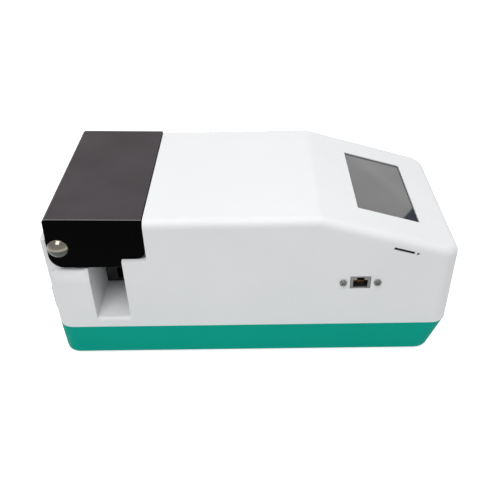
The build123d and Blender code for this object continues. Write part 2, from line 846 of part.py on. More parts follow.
with BuildPart() as roll_flanges:
    for flange_y, hub_y in ((y_film_near, y_film_near + hub_length), (y_film_far + flange_thickness, y_film_far)):
        with BuildSketch(side_plane(flange_y)):
            with Locations((x_spool, z_spool)):
                Circle(flange_radius)
                Circle(spindle_radius + running_gap, mode=Mode.SUBTRACT)
        extrude(amount=flange_thickness)
        with BuildSketch(side_plane(hub_y)):
            with Locations((x_spool, z_spool)):
                Circle(core_bore - running_gap)
                Circle(spindle_radius + running_gap, mode=Mode.SUBTRACT)
        extrude(amount=hub_length)
keep(roll_flanges.part, "roll_flanges")

spindle_overhang = 2.0
with BuildPart() as spool_spindle:
    with BuildSketch(side_plane(y_cradle_far + spindle_overhang)):
        with Locations((x_spool, z_spool)):
            Circle(spindle_radius)
    extrude(amount=y_cradle_far + spindle_overhang - y_cradle_near)
    chamfer(edges(), 0.6)
keep(spool_spindle.part, "spool_spindle")

idler_overlap = 1.0
keep(
    roller(x_idler, z_idler, idler_radius, y_film_near - idler_overlap, y_film_far + idler_overlap,
           idler_journal_radius, y_cradle_near, y_cradle_far),
    "idler_roller",
)

# Film web from the roll over the idler to the cutter
x_cutter = x_seam + cutter_from_seam
roll_path = roll_radius + gap + film_thickness / 2
idler_path = idler_radius + gap + film_thickness / 2
reach = math.hypot(x_idler - x_spool, z_spool - z_idler)
web_angle = math.asin((roll_path + idler_path) / reach) - math.atan2(z_spool - z_idler, x_idler - x_spool)
web_start = (x_spool + roll_path * math.sin(web_angle), z_spool - roll_path * math.cos(web_angle))
web_turn = (x_idler - idler_path * math.sin(web_angle), z_idler + idler_path * math.cos(web_angle))
with BuildPart() as film_web:
    with BuildSketch(side_plane(y_film_far)):
        with BuildLine():
            Line(web_start, web_turn)
            RadiusArc(web_turn, (x_idler, z_idler + idler_path), idler_path)
            Line((x_idler, z_idler + idler_path), (x_cutter - 2, z_idler + idler_path))
        trace(line_width=film_thickness)
    extrude(amount=film_width)
keep(film_web.part, "film_web")

# Film feed
x_feed = x_seam + feed_from_seam
z_feed = z_film - nip_gap / 2 - feed_radius
z_pinch = z_film + nip_gap / 2 + pinch_radius
feed_plate_gap = 8.0
y_feed_near = y_film_near - feed_plate_gap
y_feed_far = y_film_far + feed_plate_gap
feed_plate_width = 32.0
feed_plate_top = z_pinch + 10.6
bush_radius = 5.0
foot_length = 10.0
with BuildPart() as feed_side_plates:
    for face_y in (y_feed_near, y_feed_far + feed_plate_thickness):
        with BuildSketch(side_plane(face_y)):
            with Locations((x_feed, (z_chassis + feed_plate_top) / 2)):
                Rectangle(feed_plate_width, feed_plate_top - z_chassis)
            with Locations((x_feed, z_feed), (x_feed, z_pinch)):
                Circle(bush_radius + running_gap, mode=Mode.SUBTRACT)
        extrude(amount=feed_plate_thickness)
    upper_corners = edges().filter_by(Axis.Y).group_by(Axis.Z)[-1]
    fillet(upper_corners, 5)
    for foot_y in (y_feed_near + foot_length / 2, y_feed_far - foot_length / 2):
        with BuildSketch(Plane.XY.offset(z_chassis)):
            with Locations((x_feed, foot_y)):
                Rectangle(feed_plate_width, foot_length)
        extrude(amount=feed_plate_thickness)
keep(feed_side_plates.part, "feed_side_plates")

with BuildPart() as roller_bushes:
    for face_y in (y_feed_near, y_feed_far + feed_plate_thickness):
        with BuildSketch(side_plane(face_y)):
            with Locations((x_feed, z_feed), (x_feed, z_pinch)):
                Circle(bush_radius)
                Circle(journal_radius + running_gap, mode=Mode.SUBTRACT)
        extrude(amount=feed_plate_thickness)
keep(roller_bushes.part, "roller_bushes")

feed_gear_gap = 2.0
y_gear_far = y_feed_near - feed_plate_thickness - feed_gear_gap
y_gear_near = y_gear_far - gear_width
keep(
    roller(x_feed, z_feed, feed_radius, y_film_near - idler_overlap, y_film_far + idler_overlap,
           journal_radius, y_gear_near, y_feed_far + feed_plate_thickness),
    "feed_roller",
)
keep(
    roller(x_feed, z_pinch, pinch_radius, y_film_near - idler_overlap, y_film_far + idler_overlap,
           journal_radius, y_feed_near - feed_plate_thickness, y_feed_far + feed_plate_thickness),
    "pinch_roller",
)
z_feed_motor = z_feed - gear_module * (feed_gear_teeth + feed_pinion_teeth) / 2
feed_shaft_radius = 2.5
with BuildPart() as feed_gear:
    with BuildSketch(Plane(origin=(x_feed, y_gear_far, z_feed), x_dir=(1, 0, 0), z_dir=(0, -1, 0))):
        add(gear_outline(feed_gear_teeth, journal_radius + running_gap))
    extrude(amount=gear_width)
keep(feed_gear.part, "feed_gear")

motor_plate_gap = 1.0
motor_plate_thickness = 2.0
y_motor_plate = y_gear_near - motor_plate_gap
y_feed_motor = y_motor_plate - motor_plate_thickness
with BuildPart() as feed_pinion:
    with BuildSketch(Plane(origin=(x_feed, y_gear_far, z_feed_motor), x_dir=(1, 0, 0), z_dir=(0, -1, 0))):
        add(gear_outline(feed_pinion_teeth, 0.5), rotation=180 / feed_pinion_teeth)
        Circle(2)
    extrude(amount=gear_width)
    with BuildSketch(side_plane(y_gear_near + 1)):
        with Locations((x_feed, z_feed_motor)):
            Circle(feed_shaft_radius)
    extrude(amount=1 + motor_plate_gap + motor_plate_thickness + 5)
keep(feed_pinion.part, "feed_pinion")

with BuildPart() as feed_motor_plate:
    with BuildSketch(side_plane(y_motor_plate)):
        with Locations((x_feed, (z_chassis + z_feed_motor + small_motor_size / 2) / 2)):
            Rectangle(small_motor_size, z_feed_motor + small_motor_size / 2 - z_chassis)
        with Locations((x_feed, z_feed_motor)):
            Circle(feed_shaft_radius + sliding_gap, mode=Mode.SUBTRACT)
    extrude(amount=motor_plate_thickness)
    with BuildSketch(Plane.XY.offset(z_chassis)):
        with Locations((x_feed, y_feed_motor - foot_length / 2 + 1)):
            Rectangle(small_motor_size, foot_length)
    extrude(amount=motor_plate_thickness)
keep(feed_motor_plate.part, "feed_motor_plate")

small_motor = stepper(small_motor_size, small_motor_depth, feed_shaft_radius + gap)
feed_motor_plane = Plane(origin=(x_feed, y_feed_motor, z_feed_motor), x_dir=(1, 0, 0), z_dir=(0, 1, 0))
keep(feed_motor_plane * small_motor, "feed_motor")

# Cutter
bed_width = 12.0
bed_height = 7.5
bed_gap = 0.35
frame_width = 16.0
frame_leg = 4.0
z_bed = z_film - film_thickness / 2 - bed_gap
cutter_rise = 53.0
z_cutter_top = z_film + cutter_rise
solenoid_size = 20.0
solenoid_height = 23.0
plunger_radius = 3.0
plunger_bore = 3.4
holder_low = z_bed + 12.5
holder_height = 12.0
blade_low = z_bed + blade_travel / 2
solenoid_places = [(x_cutter, film_centre - 24), (x_cutter, film_centre + 24)]
y_leg_near = y_film_near - frame_leg - 6
y_leg_far = y_film_far + 6
with BuildPart() as cutter_frame:
    for face_y in (y_leg_near + frame_leg, y_leg_far + frame_leg):
        with BuildSketch(side_plane(face_y)):
            with Locations((x_cutter, (z_chassis + z_cutter_top) / 2)):
                Rectangle(frame_width, z_cutter_top - z_chassis)
        extrude(amount=frame_leg)
    with BuildSketch(side_plane(y_leg_far)):
        with Locations((x_cutter, z_cutter_top - wall / 2)):
            Rectangle(frame_width, wall)
        with Locations((x_cutter, z_bed - bed_height / 2)):
            Rectangle(bed_width, bed_height)
            Rectangle(2 * sliding_gap + blade_thickness, bed_height, mode=Mode.SUBTRACT)
    extrude(amount=y_leg_far - y_leg_near - frame_leg)
    with BuildSketch(Plane.XY.offset(z_bed - bed_height)):
        with Locations((x_cutter, y_leg_near + frame_leg + 1.5), (x_cutter, y_leg_far - 1.5)):
            Rectangle(bed_width, 3)
    extrude(amount=bed_height)
keep(cutter_frame.part, "cutter_frame")

blade_overlap = 2.5
with BuildPart() as cutter_blade:
    with BuildSketch(end_plane(x_cutter - blade_thickness / 2)):
        with BuildLine():
            Polyline(
                (y_film_near - blade_overlap, blade_low + 3),
                (film_centre, blade_low),
                (y_film_far + blade_overlap, blade_low + 3),
                (y_film_far + blade_overlap, holder_low + 6),
                (y_film_near - blade_overlap, holder_low + 6),
                close=True,
            )
        make_face()
    extrude(amount=blade_thickness)
keep(cutter_blade.part, "cutter_blade")

holder_width = 10.0
with BuildPart() as blade_holder:
    with BuildSketch(Plane.XY.offset(holder_low)):
        with Locations((x_cutter, film_centre)):
            Rectangle(holder_width, y_leg_far - y_leg_near - frame_leg - 2 * sliding_gap)
    extrude(amount=holder_height)
    chamfer(edges().filter_by(Axis.Z), 1)
    with BuildSketch(Plane.XY.offset(holder_low)):
        with Locations((x_cutter, film_centre)):
            Rectangle(blade_thickness, film_width + 2 * blade_overlap)
    extrude(amount=6, mode=Mode.SUBTRACT)
keep(blade_holder.part, "blade_holder")

plunger_inside = 12.0
z_solenoid = z_cutter_top - wall - solenoid_height
with BuildPart() as solenoid_plungers:
    with BuildSketch(Plane.XY.offset(holder_low + holder_height)):
        with Locations(*solenoid_places):
            Circle(plunger_radius)
    extrude(amount=z_solenoid + plunger_inside - holder_low - holder_height)
keep(solenoid_plungers.part, "solenoid_plungers")

with BuildPart() as cutter_solenoids:
    with BuildSketch(Plane.XY.offset(z_solenoid)):
        with Locations(*solenoid_places):
            RectangleRounded(solenoid_size, solenoid_size, 1)
    extrude(amount=solenoid_height)
    with BuildSketch(Plane.XY.offset(z_solenoid)):
        with Locations(*solenoid_places):
            Circle(plunger_bore)
    extrude(amount=plunger_inside + 4, mode=Mode.SUBTRACT)
keep(cutter_solenoids.part, "cutter_solenoids")

# Plate drawer
x_nest = x_wall_inner - sliding_gap - drawer_rim - nest_length / 2
z_tray = z_base + drawer_height
z_tray_top = z_tray + drawer_thickness
x_tray_left = x_nest - nest_length / 2 - drawer_rim
x_tray_right = x_wall_inner - sliding_gap
y_tray_near = drawer_centre - tray_width / 2
y_tray_far = drawer_centre + tray_width / 2
nest_shelf = 4.5
with BuildPart() as drawer_tray:
    with BuildSketch(Plane.XY.offset(z_tray)):
        with Locations((x_nest, drawer_centre)):
            RectangleRounded(nest_length + 2 * drawer_rim, tray_width, 2)
    extrude(amount=drawer_thickness)
    with BuildSketch(Plane.XY.offset(z_tray_top - nest_depth)):
        with Locations((x_nest, drawer_centre)):
            RectangleRounded(nest_length, nest_width, 3)
    extrude(amount=nest_depth, mode=Mode.SUBTRACT)
    chamfer(edges().filter_by(Plane.XY).group_by(Axis.Z)[-1].filter_by(GeomType.LINE), 0.6)
    with BuildSketch(Plane.XY.offset(z_tray)):
        with Locations((x_nest, drawer_centre)):
            RectangleRounded(nest_length - 2 * nest_shelf, nest_width - 2 * nest_shelf, 5)
    extrude(amount=drawer_thickness, mode=Mode.SUBTRACT)
keep(drawer_tray.part, "drawer_tray")

x_door = x_wall_inner - sliding_gap
with BuildPart() as drawer_front:
    with BuildSketch(end_plane(x_door)):
        with Locations((drawer_centre, z_drawer_front + drawer_front_height / 2)):
            RectangleRounded(drawer_front_width, drawer_front_height, 2)
    extrude(amount=drawer_front_thickness)
    fillet(edges().group_by(Axis.X)[-1], 1)
keep(drawer_front.part, "drawer_front")

runner_left = x_tray_left - 28.0
z_runner = z_tray + 2.0
with BuildPart() as drawer_runners:
    with BuildSketch(Plane.XY.offset(z_runner)):
        for runner_y in (y_tray_near - runner_width / 2, y_tray_far + runner_width / 2):
            with Locations(((runner_left + x_tray_right) / 2, runner_y)):
                Rectangle(x_tray_right - runner_left, runner_width)
    extrude(amount=runner_height)
    chamfer(edges().filter_by(Axis.X), 0.5)
keep(drawer_runners.part, "drawer_runners")

rail_sheet = 1.2
rail_right = x_wall_inner - 3.8
rail_inner = runner_width + sliding_gap
with BuildPart() as outer_rails:
    for side, tray_side in ((-1, y_tray_near), (1, y_tray_far)):
        with BuildSketch(end_plane(runner_left)):
            low = z_runner - sliding_gap - rail_sheet
            high = z_runner + runner_height + sliding_gap + rail_sheet
            web = tray_side + side * rail_inner
            with BuildLine():
                Polyline(
                    (tray_side + side * sliding_gap, low),
                    (web + side * rail_sheet, low),
                    (web + side * rail_sheet, high),
                    (tray_side + side * sliding_gap, high),
                    (tray_side + side * sliding_gap, high - rail_sheet),
                    (web, high - rail_sheet),
                    (web, low + rail_sheet),
                    (tray_side + side * sliding_gap, low + rail_sheet),
                    close=True,
                )
            make_face()
        extrude(amount=rail_right - runner_left)
keep(outer_rails.part, "outer_rails")

bracket_sheet = 1.5
bracket_width = 10.0
bracket_foot = 9.0
bracket_from_post = 0.9
bracket_from_nest = post_from_nest + post_ear_radius + bracket_from_post + bracket_width / 2
bracket_spacing = 37.0
bracket_places = (x_nest - bracket_from_nest, x_nest - bracket_from_nest + bracket_spacing)
with BuildPart() as rail_brackets:
    for side, tray_side in ((-1, y_tray_near), (1, y_tray_far)):
        outer_face = tray_side + side * (rail_inner + rail_sheet)
        rail_top = z_runner + runner_height + sliding_gap + rail_sheet
        for bracket_x in bracket_places:
            with BuildSketch(Plane.YZ.offset(bracket_x - bracket_width / 2)):
                with BuildLine():
                    Polyline(
                        (outer_face, z_chassis),
                        (outer_face - side * bracket_foot, z_chassis),
                        (outer_face - side * bracket_foot, z_chassis + bracket_sheet),
                        (outer_face, z_chassis + bracket_sheet),
                        (outer_face, rail_top),
                        (outer_face + side * bracket_sheet, rail_top),
                        (outer_face + side * bracket_sheet, z_chassis),
                        close=True,
                    )
                make_face()
            extrude(amount=bracket_width)
keep(rail_brackets.part, "rail_brackets")

# Drawer rack, its pinion and motor
z_rack = z_tray - rack_height
y_rack_pitch = y_tray_near - gear_module
drawer_motor_from_right = 36.8
rack_spare = 6.0
rack_from_front = 24.0
x_drawer_motor = x_right - drawer_motor_from_right
rack_left = x_drawer_motor - drawer_travel - rack_spare
rack_right = x_tray_right - rack_from_front
y_drawer_motor = y_rack_pitch - gear_module * drawer_pinion_teeth / 2
with BuildPart() as drawer_rack:
    with BuildSketch(Plane(origin=(0, y_rack_pitch, z_tray), x_dir=(1, 0, 0), z_dir=(0, 0, -1))):
        add(rack_outline(rack_left, rack_right, x_drawer_motor, True, rack_width + gear_module))
    extrude(amount=rack_height)
keep(drawer_rack.part, "drawer_rack")

pinion_face = 5.4
with BuildPart() as drawer_pinion:
    with BuildSketch(Plane.XY.offset(z_rack + gap)):
        with Locations((x_drawer_motor, y_drawer_motor)):
            add(gear_outline(drawer_pinion_teeth, 0.5))
            Circle(2)
    extrude(amount=pinion_face)
    with BuildSketch(Plane.XY.offset(z_chassis + small_motor_depth - 5)):
        with Locations((x_drawer_motor, y_drawer_motor)):
            Circle(feed_shaft_radius)
    extrude(amount=z_rack + gap + 1 - z_chassis - small_motor_depth + 5)
keep(drawer_pinion.part, "drawer_pinion")

drawer_motor_plane = Plane(origin=(x_drawer_motor, y_drawer_motor, z_chassis + small_motor_depth))
keep(drawer_motor_plane * small_motor, "drawer_motor")

# Heated press over the plate
z_platen = z_base + platen_rest_height
z_insulation = z_platen + platen_thickness
z_press_frame = z_insulation + insulation_thickness
platen_overhang = 0.26
platen_width = plate_width + 2 * platen_overhang
cartridge_radius = 3.0
cartridge_short = 12.0
cartridge_length = platen_length - cartridge_short
cartridge_from_edge = 17.0
cartridge_offset = platen_width / 2 - cartridge_from_edge
cartridge_places = [
    (film_centre + offset, z_platen + platen_thickness / 2)
    for offset in (-cartridge_offset, 0, cartridge_offset)
]
x_platen_left = x_nest - platen_length / 2
with BuildPart() as heater_platen:
    with BuildSketch(Plane.XY.offset(z_platen)):
        with Locations((x_nest, drawer_centre)):
            RectangleRounded(platen_length, platen_width, 2)
    extrude(amount=platen_thickness)
    chamfer(edges().group_by(Axis.Z)[0], 1)
    with BuildSketch(end_plane(x_platen_left)):
        with Locations(*cartridge_places):
            Circle(cartridge_radius + running_gap)
    extrude(amount=cartridge_length, mode=Mode.SUBTRACT)
keep(heater_platen.part, "heater_platen")

with BuildPart() as heater_cartridges:
    with BuildSketch(end_plane(x_platen_left - 3)):
        with Locations(*cartridge_places):
            Circle(cartridge_radius)
    extrude(amount=cartridge_length)
keep(heater_cartridges.part, "heater_cartridges")

with BuildPart() as platen_insulation:
    with BuildSketch(Plane.XY.offset(z_insulation)):
        with Locations((x_nest, drawer_centre)):
            RectangleRounded(platen_length - 4, platen_width - 4, 2)
    extrude(amount=insulation_thickness)
keep(platen_insulation.part, "platen_insulation")

press_rack_width = 6.0
press_rack_below = 6.0
press_rack_above = platen_travel + press_rack_below
x_rack_back = x_platen_left - rack_from_platen
x_press_pitch = x_rack_back - rack_thickness
x_press_shaft = x_press_pitch - gear_module * press_pinion_teeth / 2
press_shaft_above_platen = 8.0
rack_from_tray_side = 10.0
near_post_from_tray = 10.0
z_press_shaft = z_platen + press_shaft_above_platen
rack_centres = (y_tray_near + rack_from_tray_side, y_tray_far - rack_from_tray_side)
post_places = [
    (x_nest - post_from_nest, y_tray_far + post_from_tray),
    (x_nest + post_from_nest, y_tray_far + post_from_tray),
    (x_nest - post_from_nest, y_tray_near - near_post_from_tray),
]
frame_inset = 4.0
frame_rib_x = 22.0
frame_rib_y = 14.0
frame_cross_rib = 20.0
frame_long_rib = 14.0
window_pitch_x = (platen_length - frame_cross_rib) / 2
window_pitch_y = (platen_width - frame_long_rib) / 2
with BuildPart() as press_frame:
    with BuildSketch(Plane.XY.offset(z_press_frame)):
        with Locations(((x_rack_back + x_platen_left + platen_length - frame_inset) / 2, drawer_centre)):
            Rectangle(platen_length - frame_inset + x_platen_left - x_rack_back, platen_width - 2 * frame_inset)
        for post_x, post_y in post_places:
            with Locations((post_x, (post_y + drawer_centre) / 2)):
                Rectangle(2 * post_ear_radius, abs(post_y - drawer_centre))
            with Locations((post_x, post_y)):
                Circle(post_ear_radius)
                Circle(post_radius + running_gap, mode=Mode.SUBTRACT)
        with Locations((x_nest, drawer_centre)):
            with GridLocations(window_pitch_x, window_pitch_y, 2, 2):
                RectangleRounded(window_pitch_x - frame_rib_x, window_pitch_y - frame_rib_y, 4, mode=Mode.SUBTRACT)
    extrude(amount=press_frame_thickness)
keep(press_frame.part, "press_frame")

with BuildPart() as press_racks:
    for rack_y in rack_centres:
        with BuildSketch(Plane(origin=(x_press_pitch, rack_y + press_rack_width / 2, 0), x_dir=(0, 0, 1), z_dir=(0, -1, 0))):
            add(rack_outline(z_press_shaft - press_rack_below, z_press_shaft + press_rack_above,
                             z_press_shaft, False, rack_thickness))
        extrude(amount=press_rack_width)
keep(press_racks.part, "press_racks")

with BuildPart() as press_pinions:
    for rack_y in rack_centres:
        with BuildSketch(Plane(origin=(x_press_shaft, rack_y + press_rack_width / 2, z_press_shaft),
                               x_dir=(1, 0, 0), z_dir=(0, -1, 0))):
            add(gear_outline(press_pinion_teeth, press_shaft_radius + running_gap))
        extrude(amount=press_rack_width)
keep(press_pinions.part, "press_pinions")

far_bearing_from_tray = 8.0
y_bearing_near = y_tray_near - bearing_from_tray
y_bearing_far = y_tray_far + far_bearing_from_tray
shaft_in_motor = 6.0
with BuildPart() as press_shaft:
    with BuildSketch(side_plane(y_bearing_far + bearing_sheet)):
        with Locations((x_press_shaft, z_press_shaft)):
            Circle(press_shaft_radius)
    extrude(amount=y_bearing_far + 2 * bearing_sheet + shaft_in_motor - y_bearing_near)
    chamfer(edges(), 0.5)
keep(press_shaft.part, "press_shaft")

far_bearing_width = 14.0
with BuildPart() as press_bearings:
    with BuildSketch(side_plane(y_bearing_near)):
        with Locations((x_press_shaft, (z_chassis + z_press_shaft + motor_size / 2) / 2)):
            Rectangle(motor_size, z_press_shaft + motor_size / 2 - z_chassis)
        with Locations((x_press_shaft, z_press_shaft)):
            Circle(press_shaft_radius + running_gap, mode=Mode.SUBTRACT)
    extrude(amount=bearing_sheet)
    with BuildSketch(side_plane(y_bearing_far + bearing_sheet)):
        with Locations((x_press_shaft, (z_chassis + z_press_shaft) / 2)):
            Rectangle(far_bearing_width, z_press_shaft - z_chassis)
        with Locations((x_press_shaft, z_press_shaft)):
            Circle(far_bearing_width / 2)
            Circle(press_shaft_radius + running_gap, mode=Mode.SUBTRACT)
    extrude(amount=bearing_sheet)
keep(press_bearings.part, "press_bearings")

press_motor_plane = Plane(origin=(x_press_shaft, y_bearing_near - bearing_sheet, z_press_shaft),
                          x_dir=(1, 0, 0), z_dir=(0, 1, 0))
keep(press_motor_plane * stepper(motor_size, motor_depth, press_shaft_radius + gap), "press_motor")

post_top = z_base + post_height
with BuildPart() as guide_posts:
    with BuildSketch(Plane.XY.offset(z_chassis)):
        with Locations(*post_places):
            Circle(post_radius)
    extrude(amount=post_top - z_chassis)
    chamfer(edges().group_by(Axis.Z)[-1], 0.5)
keep(guide_posts.part, "guide_posts")

# Screen stack under the slope
module_rim_length = 4.55
module_rim_width = 4.0
module_length = screen_length + 2 * module_rim_length
module_width = screen_width + 2 * module_rim_width
module_thickness = 4.0
board_short = 3.9
board_from_wall = 2.5
board_slope_length = screen_length - board_short
board_reach = width / 2 - wall - board_from_wall
reader_length = 24.0
reader_depth = 26.0
reader_thickness = 3.2
card_guide = 0.2
card_stop = 3.0
with BuildPart() as touch_glass:
    with BuildSketch(slope_top.offset(-screen_recess)):
        with Locations((screen_centre, 0)):
            RectangleRounded(screen_length + 2 * glass_margin, screen_width + 2 * glass_margin, 1.5)
    extrude(amount=-glass_thickness)
keep(touch_glass.part, "touch_glass")

module_drop = screen_recess + glass_thickness
with BuildPart() as display_module:
    with BuildSketch(slope_top.offset(-module_drop)):
        with Locations((screen_centre, 0)):
            RectangleRounded(module_length, module_width, 1)
    extrude(amount=-module_thickness)
keep(display_module.part, "display_module")

board_drop = module_drop + module_thickness
with BuildPart() as display_board:
    with BuildSketch(slope_top.offset(-board_drop)):
        with Locations((screen_centre, (module_width / 2 - board_reach) / 2)):
            Rectangle(board_slope_length, board_reach + module_width / 2)
    extrude(amount=-board_thickness)
    with BuildSketch(slope_top.offset(-board_drop - board_thickness)):
        with Locations((screen_centre + 12, 20)):
            Rectangle(14, 14)
        with Locations((screen_centre - 10, 22)):
            Rectangle(10, 18)
    extrude(amount=-1.4)
keep(display_board.part, "display_board")

with BuildPart() as card_reader:
    with BuildSketch(slope_top.offset(-board_drop - board_thickness)):
        with Locations((slot_from_bend, y_front + wall + gap + reader_depth / 2)):
            Rectangle(reader_length, reader_depth)
    extrude(amount=-reader_thickness - 1)
    with BuildSketch(Plane(origin=slope_front.origin + Vector(0, wall + gap, 0), x_dir=slope_front.x_dir,
                           z_dir=slope_front.z_dir)):
        with Locations((slot_from_bend, -slot_depth_below_top)):
            Rectangle(slot_length + 2 * card_guide, slot_width - card_guide)
    extrude(amount=card_stop - reader_depth, mode=Mode.SUBTRACT)
keep(card_reader.part, "card_reader")

# Socket, its screws and the board behind it
jack_flange_width = 34.0
jack_flange_height = 13.4
jack_flange_thickness = 2.0
plug_width = 11.8
plug_height = 7.0
latch_width = 6.2
latch_height = 2.4
plug_drop = 1.0
socket_depth = 13.0
jack_screw_tip = 1.5
jack_head_radius = 3.0
jack_head_height = 1.6
with BuildPart() as network_jack:
    with BuildSketch(side_plane(y_board)):
        with Locations((x_jack, z_jack)):
            Rectangle(jack_opening_width - 0.6, jack_opening_height - 0.6)
    extrude(amount=y_board - y_front - 0.4)
    with BuildSketch(side_plane(y_front + wall + jack_flange_thickness)):
        with Locations((x_jack, z_jack)):
            RectangleRounded(jack_flange_width, jack_flange_height, 2)
        with Locations((x_jack - jack_screw_spacing / 2, z_jack), (x_jack + jack_screw_spacing / 2, z_jack)):
            Circle(jack_screw_radius + running_gap, mode=Mode.SUBTRACT)
    extrude(amount=jack_flange_thickness)
    with BuildSketch(side_plane(y_front + socket_depth)):
        with Locations((x_jack, z_jack - plug_drop)):
            Rectangle(plug_width, plug_height)
        with Locations((x_jack, z_jack - plug_drop + (plug_height + latch_height) / 2)):
            Rectangle(latch_width, latch_height)
    extrude(amount=socket_depth + 1, mode=Mode.SUBTRACT)
keep(network_jack.part, "network_jack")

with BuildPart() as jack_screws:
    with BuildSketch(side_plane(y_front + wall + jack_flange_thickness + jack_screw_tip)):
        with Locations((x_jack - jack_screw_spacing / 2, z_jack), (x_jack + jack_screw_spacing / 2, z_jack)):
            Circle(jack_screw_radius)
    extrude(amount=wall + jack_flange_thickness + jack_screw_tip)
    with BuildSketch(side_plane(y_front)):
        with Locations((x_jack - jack_screw_spacing / 2, z_jack), (x_jack + jack_screw_spacing / 2, z_jack)):
            Circle(jack_head_radius)
    extrude(amount=jack_head_height)
    fillet(edges().group_by(Axis.Y)[0], 0.9)
keep(jack_screws.part, "jack_screws")

with BuildPart() as controller_board:
    with BuildSketch(side_plane(y_board + board_thickness)):
        with Locations(((board_left + board_right) / 2, (board_low + board_high) / 2)):
            RectangleRounded(board_right - board_left, board_high - board_low, 2)
    extrude(amount=board_thickness)
    with BuildSketch(side_plane(y_board + board_thickness + 2)):
        with Locations((board_left + 22, board_high - 20), (board_left + 50, board_high - 34)):
            Rectangle(14, 14)
        with Locations((board_right - 14, board_high - 24)):
            Rectangle(8, 16)
    extrude(amount=2)
keep(controller_board.part, "controller_board")

supply_length = 90.0
supply_width = 60.0
supply_height = 25.0
supply_gap = 0.48
supply_from_centre = 5.0
x_supply = x_drawer_motor - small_motor_size / 2 - supply_gap - supply_length / 2
y_supply = drawer_centre + supply_from_centre
with BuildPart() as power_supply:
    with BuildSketch(Plane.XY.offset(z_chassis)):
        with Locations((x_supply, y_supply)):
            Rectangle(supply_length, supply_width)
    extrude(amount=supply_height)
    chamfer(edges().filter_by(Axis.X), 1)
    with BuildSketch(Plane.XY.offset(z_chassis + supply_height)):
        with Locations((x_supply, y_supply)):
            with GridLocations(8, 40, 9, 1):
                SlotOverall(40, 3, rotation=90)
    extrude(amount=-2, mode=Mode.SUBTRACT)
keep(power_supply.part, "power_supply")

# Mains inlet and switch
inlet_fit = 0.2
inlet_cavity_width = 23.4
inlet_cavity_tall = 15.6
inlet_cavity_depth = 13.5
with BuildPart() as power_inlet:
    with BuildSketch(end_plane(x_left)):
        with Locations((inlet_y, z_inlet)):
            RectangleRounded(inlet_width + 2 * inlet_margin - 2 * inlet_fit,
                             inlet_tall + 2 * inlet_margin - 2 * inlet_fit, 1.5)
    extrude(amount=flange_recess)
    with BuildSketch(end_plane(x_left + flange_recess)):
        with Locations((inlet_y, z_inlet)):
            Rectangle(inlet_width - 2 * inlet_fit, inlet_tall - 2 * inlet_fit)
    extrude(amount=inlet_depth)
    with BuildSketch(end_plane(x_left)) as inlet_mouth:
        with Locations((inlet_y, z_inlet)):
            Rectangle(inlet_cavity_width, inlet_cavity_tall)
        chamfer(inlet_mouth.vertices().group_by(Axis.Y)[-1], 4)
    extrude(amount=inlet_cavity_depth, mode=Mode.SUBTRACT)
keep(power_inlet.part, "power_inlet")

with BuildPart() as inlet_pins:
    with BuildSketch(end_plane(x_left + 2.5)):
        with Locations((inlet_y - 7, z_inlet - 1.5), (inlet_y + 7, z_inlet - 1.5), (inlet_y, z_inlet + 2.5)):
            Rectangle(2, 4)
    extrude(amount=inlet_cavity_depth - 2.5)
keep(inlet_pins.part, "inlet_pins")

switch_depth = 13.0
rocker_pivot_depth = 5.5
rocker_half = 7.4
rocker_cavity = 16.6
rocker_cavity_tall = 10.0
rocker_tilt = 10.0
rocker_pin_radius = 1.2
x_rocker = x_left + rocker_pivot_depth
with BuildPart() as switch_frame:
    with BuildSketch(end_plane(x_left)):
        with Locations((inlet_y, z_switch)):
            RectangleRounded(switch_width + inlet_margin - 2 * inlet_fit,
                             switch_tall + inlet_margin - 2 * inlet_fit, 1)
    extrude(amount=flange_recess)
    with BuildSketch(end_plane(x_left + flange_recess)):
        with Locations((inlet_y, z_switch)):
            Rectangle(switch_width - 2 * inlet_fit, switch_tall - 2 * inlet_fit)
    extrude(amount=switch_depth)
    with BuildSketch(end_plane(x_left)):
        with Locations((inlet_y, z_switch)):
            Rectangle(rocker_cavity, rocker_cavity_tall)
    extrude(amount=rocker_pivot_depth + 5, mode=Mode.SUBTRACT)
    with BuildSketch(Plane.XY.offset(z_switch - rocker_cavity_tall / 2 - 1)):
        with Locations((x_rocker, inlet_y)):
            Circle(rocker_pin_radius + running_gap)
    extrude(amount=rocker_cavity_tall + 2, mode=Mode.SUBTRACT)
keep(switch_frame.part, "switch_frame")

rocker_plane = Plane(
    origin=(x_rocker, inlet_y, z_switch - rocker_cavity_tall / 2 + gap),
    x_dir=(math.cos(math.radians(rocker_tilt)), -math.sin(math.radians(rocker_tilt)), 0),
    z_dir=(0, 0, 1),
)
with BuildPart() as rocker_switch:
    with BuildSketch(rocker_plane):
        with BuildLine():
            Polyline((-3, -rocker_half), (-1.8, 0), (-3, rocker_half), (-1, rocker_half),
                     (2.4, 3), (2.4, -3), (-1, -rocker_half), close=True)
        make_face()
    extrude(amount=rocker_cavity_tall - 2 * gap)
    with BuildSketch(Plane.XY.offset(z_switch - rocker_cavity_tall / 2 - 0.9)):
        with Locations((x_rocker, inlet_y)):
            Circle(rocker_pin_radius)
    extrude(amount=rocker_cavity_tall + 1.8)
keep(rocker_switch.part, "rocker_switch")

